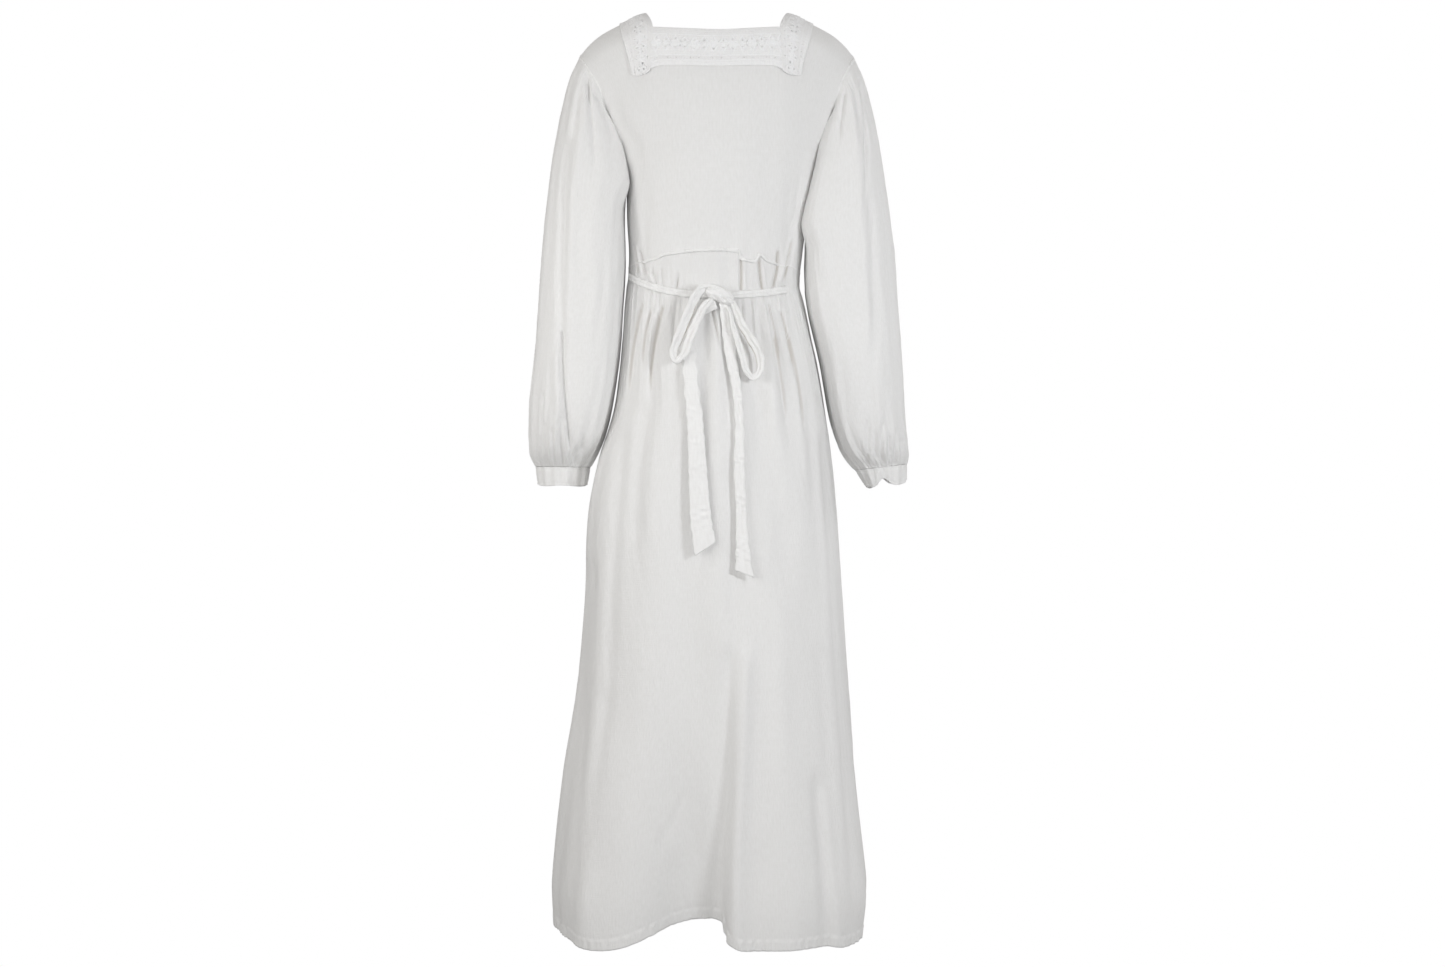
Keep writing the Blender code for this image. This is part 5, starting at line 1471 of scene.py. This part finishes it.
class DRESS_OT_cuffs(bpy.types.Operator):
    """Make the two narrow cuffs"""

    bl_idname = "dress.cuffs"
    bl_label = "Cuffs"

    def execute(self, context):
        turn = np.linspace(0, 2 * math.pi, CUFF_COLUMNS, endpoint=False)
        angle, part = np.meshgrid(turn, np.linspace(0.012, 1, CUFF_ROWS))
        for side, left in SIDES.items():
            points = cuff_surface(angle, part, left)
            make_ring(f"cuff_{side}", points, CUFF_THICKNESS, CUFF_CUT)
        return {"FINISHED"}


def carry_profile(path, across, out, profile):
    """Carry a closed profile along a path: each point goes across and out from the path."""
    return (
        path[:, None]
        + across[:, None] * profile[..., 0][..., None]
        + out[:, None] * profile[..., 1][..., None]
    )


def build_tube(name, points, cut, material, closed=False, depth=None):
    """Make a closed skin of a grid carried along a path, with capped ends unless it closes."""
    stations, sides = points.shape[:2]
    cells = stations if closed else stations - 1
    station, side = np.indices((cells, sides)).reshape(2, -1)
    ahead = (station + 1) % stations
    following = (side + 1) % sides
    faces = cell_corners(station, ahead, side, following, sides)[:, [0, 3, 2, 1]]
    across = np.linspace(0, 2 * cut[0], sides + 1)[side[:, None] + np.array([0, 0, 1, 1])]
    down = np.linspace(0, -cut[1], cells + 1)[station[:, None] + np.array([0, 1, 1, 0])]
    places = np.stack([across, down], axis=-1)
    flat = points.reshape(-1, 3)
    centre = points.mean(axis=1, keepdims=True)
    outward = (points - centre).reshape(-1, 3)
    turned = np.sum(face_slopes(flat, faces) * outward[faces[:, 0]]) < 0
    if not closed:
        half = sides // 2
        rung = np.arange(half - 1)
        start = np.stack([rung, rung + 1, sides - 2 - rung, sides - 1 - rung], axis=1)
        end = start[:, ::-1] + (stations - 1) * sides
        faces = np.vstack([faces, start, end])
        cap = np.zeros((len(start) * 2, 4, 2))
        places = np.vstack([places, cap])
    if turned:
        faces, places = faces[:, ::-1], places[:, ::-1]
    # The depth is each point's share of painted shade
    return build_mesh(name, flat, faces, places.reshape(-1, 2), material, depth)


def make_seam(name, path, out, radius, flatness, length):
    """Make a closed raised seam: an oval profile of a radius carried along a ring."""
    forward = unit(np.roll(path, -1, axis=0) - np.roll(path, 1, axis=0))
    across = unit(np.cross(forward, out))
    swing = 2 * math.pi * (np.arange(SEAM_SIDES) + 0.5) / SEAM_SIDES
    place = np.linspace(0, length, len(path), endpoint=False)
    radius = radius * (1 + 0.12 * ripple(place, 0 * place, 12, 0.006, 1.0))
    profile = radius[:, None, None] * np.stack([flatness * np.cos(swing), np.sin(swing)], -1)[None]
    points = carry_profile(path, across, out, profile)
    piece = build_tube(name, points, (0.0035, length), tie_material(), closed=True)
    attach(piece, "root")


class DRESS_OT_seams(bpy.types.Operator):
    """Make the raised seams of the waist and of both armholes"""

    bl_idname = "dress.seams"
    bl_label = "Seams"

    def execute(self, context):
        angle = np.linspace(-math.pi, math.pi, WAIST_SEAM_STEPS, endpoint=False)
        turn = turn_of(waist_level(angle))
        path, out = body_surface(angle, turn), body_normals(angle, turn)
        limit = np.where(np.sin(angle) > 0, PIPING_END_LEFT, PIPING_END_RIGHT)
        shown = 0.3 + 0.7 * smooth_step((limit - np.abs(path[:, 0])) / 0.014)
        lift = body_relief(path, angle, level_of(turn)) + PIPING_RISE * shown - SEAM_SUNK
        path = path + out * lift[:, None]
        radius = PIPING_RADIUS * (0.35 + 0.65 * shown)
        make_seam("waist_seam", path, out, radius, 1.3, WAIST_SEAM_LENGTH)
        for side, left in SIDES.items():
            angle = np.linspace(0, 2 * math.pi, ARMHOLE_SEAM_STEPS, endpoint=False)
            path, out = armhole_ring(angle, left)
            shown = smooth_step((1 - np.cos(angle)) / 0.12)
            path = path + out * (ARMHOLE_RISE * shown - SEAM_SUNK)[:, None]
            radius = ARMHOLE_RADIUS * (0.3 + 0.7 * shown)
            make_seam(f"armhole_seam_{side}", path, out, radius, 1.4, ARMHOLE_SEAM_LENGTH)
        return {"FINISHED"}


def strip_position(along, across, side):
    """Point and normal on the bodice under a shoulder strip of the collar.

    The distance along runs from the front corner at less than 0 over the shoulder at 0 to the
    back corner, in rows of the bodice, and the distance across in columns from the neck.
    """
    column = side * (NECK_COLUMN + across)
    behind, behind_normals = bodice_surface(column, np.maximum(along, 0), True)
    ahead, ahead_normals = bodice_surface(column, np.maximum(-along, 0), False)
    back = (along >= 0)[..., None]
    return np.where(back, behind, ahead), np.where(back, behind_normals, ahead_normals)


def band_position(along, across, back):
    """Point and normal on the bodice under the collar's back or front band."""
    first = BACK_NECK_ROW if back else FRONT_NECK_ROW
    return bodice_surface(along, first + across, back)


def stitch_grain(along, across):
    """Close rows of crochet: small rounded stitches side by side in each row."""
    rows = np.abs(np.sin(math.pi * across / STITCH_ROW)) ** 0.7
    shift = math.pi / 2 * np.floor(across / STITCH_ROW)
    stitches = np.abs(np.sin(math.pi * along / STITCH_PITCH + shift))
    return 0.0006 * rows * (0.4 + 0.6 * stitches)


def lace_pattern(along, across, width, pitch):
    """Height and hole measure of the lace: dense rows, diamonds with rosettes, and eyelets.

    The hole measure is the distance to the nearest hole's edge, below nought inside it.
    """
    height = stitch_grain(along, across)
    middle = 0.44 * width
    reach = 0.20 * width
    wave = np.abs(((along / pitch) % 1.0) * 2 - 1) * 2 - 1
    for sign in (-1, 1):
        line = np.abs(across - middle - sign * reach * wave) * 0.8
        height = height + 0.0011 * np.exp(-((line / 0.0013) ** 2))
    hole = np.full_like(height, 1.0)
    for shift, size in ROSETTES:
        centre = ((along / pitch + shift) % 1.0 - 0.5) * pitch
        spread_out = np.hypot(centre, across - middle)
        petal = np.cos(6 * np.arctan2(across - middle, centre))
        height = height + 0.0013 * np.exp(-((spread_out / (size * (1 + 0.22 * petal))) ** 4))
        height = height - 0.0009 * np.exp(-((spread_out / 0.0012) ** 2))
        for turn in range(6):
            at = math.pi / 6 + turn * math.pi / 3
            off_along = centre - 1.75 * size * math.cos(at)
            off_across = across - middle - 1.55 * size * math.sin(at)
            hole = np.minimum(hole, np.hypot(off_along, off_across) - 0.00072)
    for level, size in EYELET_LINES:
        beat = ((along / EYELET_PITCH) % 1.0 - 0.5) * EYELET_PITCH
        hole = np.minimum(hole, np.hypot(beat, across - level * width) - size)
    for level in RAISED_LINES:
        height = height + 0.0004 * np.exp(-(((across - level * width) / 0.0010) ** 2))
    return height, hole


def open_pattern(along, across, width, pitch):
    """The shoulder strips' lace: the same bands with a more open ground of small holes."""
    height, hole = lace_pattern(along, across, width, pitch)
    height = 0.65 * height
    row = np.floor(across / (GROUND_PITCH * 0.75))
    beat = ((along / GROUND_PITCH + 0.5 * row) % 1.0 - 0.5) * GROUND_PITCH
    step = (across / (GROUND_PITCH * 0.75) - row - 0.5) * GROUND_PITCH * 0.75
    edge = np.minimum(across, width - across)
    size = np.where(edge > GROUND_MARGIN, GROUND_HOLE, -1.0)
    return height, np.minimum(hole, np.hypot(beat, step) - size)


def snap_to_holes(along, across, pattern, mesh):
    """Move the points that lie next to a hole's edge onto it, down the slope of its measure."""
    step = mesh * 0.05
    measure = pattern(along, across)[1]
    slope_along = (pattern(along + step, across)[1] - measure) / step
    slope_across = (pattern(along, across + step)[1] - measure) / step
    steep = np.maximum(slope_along**2 + slope_across**2, 0.25)
    near = (np.abs(measure) < 0.55 * mesh) & (measure < 0.5)
    along = along - np.where(near, measure * slope_along / steep, 0)
    across = across - np.where(near, measure * slope_across / steep, 0)
    return along, across


def make_lace(name, position, length, width, end_curl, pattern):
    """Make one strip of lace on the bodice's own points, moved out, with its holes cut.

    Its far end rises by the end curl.
    """
    lace = bpy.context.scene.dress_lace
    cut = (length, width)
    size = lace.mesh * (FRONT_LACE_COARSER if "front" in name else 1.0)
    count_along = int(length / size)
    count_across = int(width / size)
    along, across = np.meshgrid(
        np.linspace(0, length, count_along + 1), np.linspace(0, width, count_across + 1)
    )
    inner = (along > 0) & (along < length) & (across > 0) & (across < width)

    def motif(at, over):
        return pattern(at, over, width, lace.pitch)

    moved_along, moved_across = snap_to_holes(along, across, motif, size)
    along = np.where(inner, moved_along, along)
    across = np.where(inner, moved_across, across)
    height, hole = motif(along, across)
    surface, normals = position(along, across)
    lift = LAID_GAP + lace.thickness + height
    lift = lift + end_curl * smooth_step((along - length + 0.020) / 0.020)
    points = surface + normals * lift[..., None]
    outer = grid_normals(points, False, normals)
    corner = (hole[:-1, :-1] + hole[1:, :-1] + hole[:-1, 1:] + hole[1:, 1:]) / 4
    # Painted shade between the raised stitches, strongest where the lace lies lowest
    recess_shade = LACE_SHADE_DARKEST * np.clip((0.0009 - height) / 0.0007, 0, 1)
    piece = build_shell(
        f"{name}_lace", points, outer, lace.thickness, cut, lace_material(), corner > 0, depth=recess_shade
    )
    place_cloth(piece, name)


class DRESS_OT_collar(bpy.types.Operator):
    """Make the four strips of the square crochet collar"""

    bl_idname = "dress.collar"
    bl_label = "Collar"

    def execute(self, context):
        for back, name in ((True, "collar_back"), (False, "collar_front")):
            last = BACK_BAND_ROWS if back else FRONT_COLLAR_ROW - FRONT_NECK_ROW

            def position(along, across, back=back, last=last):
                column = (along / COLLAR_BAND_LENGTH * 2 - 1) * NECK_COLUMN
                share = across / COLLAR_BAND_WIDTH
                dip = 0.16 * smooth_step((np.abs(column) - 4.2) / 0.8) * share**2
                return band_position(column, share * last + dip, back)

            make_lace(name, position, COLLAR_BAND_LENGTH, COLLAR_BAND_WIDTH, 0.0, lace_pattern)
        for side, name in ((1, "collar_left"), (-1, "collar_right")):
            rows = np.linspace(-FRONT_COLLAR_ROW - 0.10, BACK_COLLAR_ROW - 0.15, 200)
            spine, _ = strip_position(rows, np.full_like(rows, 1.0), side)
            lengths = distances(spine)
            length = float(lengths[-1])

            def position(along, across, side=side, rows=rows, lengths=lengths):
                share = across / COLLAR_SIDE_WIDTH
                row = np.interp(along, lengths, rows)
                end = smooth_step((row - BACK_COLLAR_ROW + 1.5) / 1.9)
                bulge = 0.06 + 0.04 * share + 0.25 * (1 - np.abs(2 * share - 1) ** 2.2)
                row = row + end * bulge
                return strip_position(row, share * (COLLAR_COLUMN - NECK_COLUMN) - 0.03, side)

            make_lace(name, position, length, COLLAR_SIDE_WIDTH, 0.0015, open_pattern)
        return {"FINISHED"}


def column_angle(x, level):
    """Angle from the back at which the skirt's plain form is this far across."""
    return np.sign(x) * angle_across(np.abs(x), level, x > 0)


class DRESS_OT_tie(bpy.types.Operator):
    """Make the two bands of the tie, each folded so that a groove runs along its middle"""

    bl_idname = "dress.tie"
    bl_label = "Tie"

    def execute(self, context):
        knot = float(column_angle(np.array(KNOT_X), np.array(TIE_LEVEL)))
        for side, left in SIDES.items():
            far = TIE_LEFT_END if left else TIE_RIGHT_END
            angle = np.linspace(knot + (0.003 if left else -0.003), far, TIE_BAND_STEPS)
            angle, at = np.meshgrid(angle, np.linspace(-1, 1, TIE_BAND_ROWS))
            level = tie_level(angle) - at * TIE_HEIGHT / 2 * (1 + 0.06 * np.sin(40 * angle))
            turn = turn_of(level)
            points, guide = body_surface(angle, turn), body_normals(angle, turn)
            relief = 0.2 * body_relief(points, angle, level)
            lobes = 0.0012 * np.abs(np.sin(math.pi * at)) ** 0.6
            rolled = 0.0008 * (1 - at**6)
            wobble = 0.0003 * ripple(0.14 * angle, at, 41, 0.012, 3.0)
            rising = smooth_step((np.abs(far) - np.abs(angle)) / 0.28)
            raised = LAID_GAP + TIE_FOLD_RISE + rolled + lobes + wobble
            lift = relief + raised * rising - TIE_SUNK
            points = points + guide * lift[..., None]
            normals = grid_normals(points, False, guide)
            name = f"tie_band_{side}"
            cut = TIE_BAND_CUT
            piece = build_shell(f"{name}_cloth", points, normals, TIE_THICKNESS, cut, tie_material())
            place_cloth(piece, name)
        return {"FINISHED"}


def skirt_depth(x, z):
    """How far back the skirt's plain form lies at a place across and a level."""
    back, square = read(BODY, "back", z), read(BODY, "square", z)
    return back * (1 - np.abs(x / half_width(z, x > 0)) ** square) ** (1 / square)


def smooth_path(points, count):
    """Evenly spaced points on a smooth curve, cubic between a path's own points."""
    lengths = distances(points)
    return follow(lengths, points, np.linspace(0, lengths[-1], count))


def strap_points(strap):
    """Strap with an oval section and a groove, carried along a path off the skirt's back.

    Its edge on the inside of a loop, at the left or right of its own way, takes painted shade in
    the fold shade colour. The result is its points, its flat width and length, and the share of
    that painted shade.
    """
    rows = np.array(strap.table, float)
    depth = skirt_depth(rows[:, 0], rows[:, 1]) + rows[:, 2]
    path = np.stack([rows[:, 0], depth, rows[:, 1], rows[:, 3]], axis=1)
    path = smooth_path(path, strap.stations)
    centre, width = path[:, :3], path[:, 3]
    forward = unit(np.gradient(centre, axis=0))
    across = unit(np.cross(forward, np.array([0.0, 1.0, 0.0])))
    out = unit(np.cross(across, forward))
    across = across * math.cos(strap.tilt) + out * math.sin(strap.tilt)
    out = unit(np.cross(across, forward))
    swing = 2 * math.pi * (np.arange(STRAP_SIDES) + 0.5) / STRAP_SIDES
    station = np.linspace(0, 1, strap.stations)[:, None]
    reach = np.cos(swing)[None, :]
    plump = np.sin(swing)[None, :]
    length = float(np.linalg.norm(np.diff(centre, axis=0), axis=1).sum())
    place = station * length
    x = width[:, None] / 2 * reach * (1 + 0.05 * ripple(place, 0 * place, strap.seed, 0.02, 1.0))
    if strap.slant:
        crumple = 0.4 * ripple(x, place, strap.seed + 1, 0.006, 0.05)
        patch = np.clip(0.35 + ripple(place, 0 * x, strap.seed + 3, 0.045, 1.0), 0, 1.2)
        crumple = crumple + patch * ripple(place, x, strap.seed + 2, 0.0085, 0.03)
    else:
        crumple = ripple(x, place, strap.seed + 1, 0.006, 0.03)
    section = strap.thickness / 2 * np.sign(plump) * np.abs(plump) ** 0.7
    dent = strap.groove * np.exp(-((reach / 0.22) ** 2)) * np.maximum(plump, 0)
    y = section - dent + strap.creases * crumple * np.abs(plump) ** 0.5
    points = carry_profile(centre, across, out, np.stack([x, y], axis=-1))
    cut_off = strap.slant * reach * smooth_step((station - 0.9) / 0.1)
    points = points + forward[:, None] * cut_off[..., None]
    # Painted shade on the edge facing the loop's inside, none at the knot, weaker further along
    shaded = 0.75 * smooth_step((strap.inside * reach - 0.62) / 0.3) * (strap.inside != 0)
    shaded = shaded * smooth_step((station - 0.12) / 0.1)
    shaded = shaded * (1 - 0.7 * smooth_step((station - 0.3) / 0.2))
    return points, (float(width.mean()), length), shaded.ravel()


class DRESS_OT_bow(bpy.types.Operator):
    """Make the knot, the two drooping loops and the two free ends of the tie"""

    bl_idname = "dress.bow"
    bl_label = "Bow"

    def execute(self, context):
        for strap in STRAPS:
            points, size, shaded = strap_points(strap)
            piece = build_tube(f"{strap.node}_cloth", points, size, tie_material(), depth=shaded)
            place_cloth(piece, strap.node)
        self.make_knot()
        return {"FINISHED"}

    def make_knot(self):
        """Slanting bundle of folded cloth: a ridged oval that swells and closes along a line."""
        low, high = (np.array(corner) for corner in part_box("bow_knot"))
        middle, half = (low + high) / 2, (high - low) / 2
        station = (1 - np.cos(math.pi * np.linspace(0.03, 0.97, KNOT_STATIONS))) / 2
        start = middle + np.array([KNOT_START[0], 0, KNOT_START[1]])
        end = middle + np.array([KNOT_END[0], 0, KNOT_END[1]])
        path = start + (end - start) * station[:, None]
        path[:, 1] += KNOT_BULGE
        path[:, 2] += 0.0025 + 0.0030 * np.sin(math.pi * station)
        forward = unit(np.gradient(path, axis=0))
        across = unit(np.cross(forward, np.array([0.0, 1.0, 0.0])))
        out = unit(np.cross(across, forward))
        swell = (1 - np.abs(2 * station - 1) ** 3.6) ** 0.5
        swing = 2 * math.pi * (np.arange(KNOT_SIDES) + 0.5) / KNOT_SIDES
        reach, plump = np.cos(swing), np.sin(swing)
        x = KNOT_HALF_WIDTH * swell[:, None] * np.sign(reach) * np.abs(reach) ** 0.8
        y = (half[1] + KNOT_BULGE) * swell[:, None] * np.sign(plump) * np.abs(plump) ** 0.75
        length = float(np.linalg.norm(end - start))
        line = x + 0.003 * np.sin(5 * station[:, None])
        folds = np.cos(2 * math.pi * line / KNOT_FOLD_PITCH) * swell[:, None]
        lumps = ripple(x, station[:, None] * length, 61, 0.009, 0.014)
        y = y + (KNOT_FOLD_HEIGHT * folds + 0.0006 * lumps) * np.maximum(plump, 0)
        points = carry_profile(path, across, out, np.stack([x, y], axis=-1))
        cut = (KNOT_CUT_WIDTH, round(length, 4))
        piece = build_tube("bow_knot_cloth", points, cut, tie_material())
        place_cloth(piece, "bow_knot")


class DRESS_OT_stage(bpy.types.Operator):
    """Set the pale floor, the soft light and the camera behind the dress"""

    bl_idname = "dress.stage"
    bl_label = "Stage"

    def execute(self, context):
        stage = context.scene.dress_stage
        self.make_camera(context)
        self.make_floor(stage)
        self.make_world(context, stage)
        for lamp in LAMPS:
            self.make_light(lamp, getattr(stage, f"{lamp.name}_power"))
        context.scene.view_settings.view_transform = "Standard"
        return {"FINISHED"}

    def make_camera(self, context):
        """Look level from behind at the middle of the dress."""
        camera = bpy.data.cameras.new("camera")
        camera.sensor_width = CAMERA_SENSOR
        camera.lens = CAMERA_LENS
        view = bpy.data.objects.new("camera", camera)
        view.location = CAMERA_PLACE
        view.rotation_euler = (math.pi / 2, 0.0, math.pi)
        context.scene.collection.objects.link(view)
        context.scene.camera = view

    def make_floor(self, stage):
        """A round pale floor, wide enough to reach the horizon."""
        turn = 2 * math.pi * np.arange(FLOOR_CORNERS) / FLOOR_CORNERS
        level = np.full(FLOOR_CORNERS, stage.floor_level)
        points = np.stack([FLOOR_REACH * np.cos(turn), FLOOR_REACH * np.sin(turn), level], axis=-1)
        mesh = bpy.data.meshes.new("floor")
        mesh.from_pydata(points.tolist(), [], [list(range(FLOOR_CORNERS))])
        mesh.materials.append(self.make_floor_material(stage))
        floor = bpy.data.objects.new("floor", mesh)
        bpy.context.scene.collection.objects.link(floor)

    def make_floor_material(self, stage):
        """Pale matte floor that the camera sees as bright as the white behind it."""
        material = bpy.data.materials.new("floor")
        material.use_nodes = True
        tree = material.node_tree
        shader = tree.nodes["Principled BSDF"]
        shader.inputs["Base Color"].default_value = (*stage.floor_colour, 1.0)
        shader.inputs["Roughness"].default_value = 0.9
        shader.inputs["Specular IOR Level"].default_value = 0.0
        glow = add_node(tree, "ShaderNodeEmission", {"Color": WHITE, "Strength": 1.0})
        lit, seen = shader.outputs["BSDF"], glow.outputs["Emission"]
        mix_for_camera(tree, lit, seen, "Material Output", stage.floor_glow)
        return material

    def make_world(self, context, stage):
        """Even light from all round, white where the camera sees it."""
        world = bpy.data.worlds.new("studio")
        context.scene.world = world
        world.use_nodes = True
        tree = world.node_tree
        light = tree.nodes["Background"]
        light.inputs["Color"].default_value = SKY_TINT
        light.inputs["Strength"].default_value = stage.sky
        seen = add_node(tree, "ShaderNodeBackground", {"Color": WHITE, "Strength": 1.0})
        lit = light.outputs["Background"]
        mix_for_camera(tree, lit, seen.outputs["Background"], "World Output")

    def make_light(self, lamp, power):
        """A square soft light that faces the middle of the dress."""
        name = f"{lamp.name}_light"
        area = bpy.data.lights.new(name, "AREA")
        area.shape = "SQUARE"
        area.size = lamp.size
        area.energy = power
        area.color = lamp.tint
        light = bpy.data.objects.new(name, area)
        bpy.context.scene.collection.objects.link(light)
        light.location = lamp.place
        toward = np.array(LIT_MIDDLE) - np.array(lamp.place)
        yaw = math.atan2(toward[0], -toward[1])
        pitch = math.atan2(math.hypot(toward[0], toward[1]), -toward[2])
        light.rotation_euler = (pitch, 0.0, yaw + math.pi)


class DRESS_PT_panel(bpy.types.Panel):
    """List the steps that make the dress"""

    bl_label = "Gauze dress"
    bl_idname = "DRESS_PT_panel"
    bl_space_type = "VIEW_3D"
    bl_region_type = "UI"
    bl_category = "Dress"

    def draw(self, context):
        for group in ("dress_cloth", "dress_lace", "dress_stage"):
            box = self.layout.box()
            settings = getattr(context.scene, group)
            for name in settings.__annotations__:
                box.prop(settings, name)
        for operator in OPERATORS:
            self.layout.operator(operator.bl_idname)


OPERATORS = (
    DRESS_OT_stage,
    DRESS_OT_bodice,
    DRESS_OT_skirt,
    DRESS_OT_sleeves,
    DRESS_OT_cuffs,
    DRESS_OT_seams,
    DRESS_OT_collar,
    DRESS_OT_tie,
    DRESS_OT_bow,
)
GROUPS = {"dress_cloth": DressCloth, "dress_lace": DressLace, "dress_stage": DressStage}


def register():
    """Register the classes and hang the settings on the scene."""
    for group in GROUPS.values():
        bpy.utils.register_class(group)
    for operator in OPERATORS:
        bpy.utils.register_class(operator)
    bpy.utils.register_class(DRESS_PT_panel)
    for name, group in GROUPS.items():
        setattr(bpy.types.Scene, name, bpy.props.PointerProperty(type=group))


def unregister():
    """Take everything off again."""
    for name in GROUPS:
        delattr(bpy.types.Scene, name)
    bpy.utils.unregister_class(DRESS_PT_panel)
    for operator in reversed(OPERATORS):
        bpy.utils.unregister_class(operator)
    for group in reversed(list(GROUPS.values())):
        bpy.utils.unregister_class(group)


def main():
    """Register the add-on and make every piece."""
    register()
    bpy.ops.dress.stage()
    bpy.ops.dress.bodice()
    bpy.ops.dress.skirt()
    bpy.ops.dress.sleeves()
    bpy.ops.dress.cuffs()
    bpy.ops.dress.seams()
    bpy.ops.dress.collar()
    bpy.ops.dress.tie()
    bpy.ops.dress.bow()


if __name__ == "__main__":
    main()
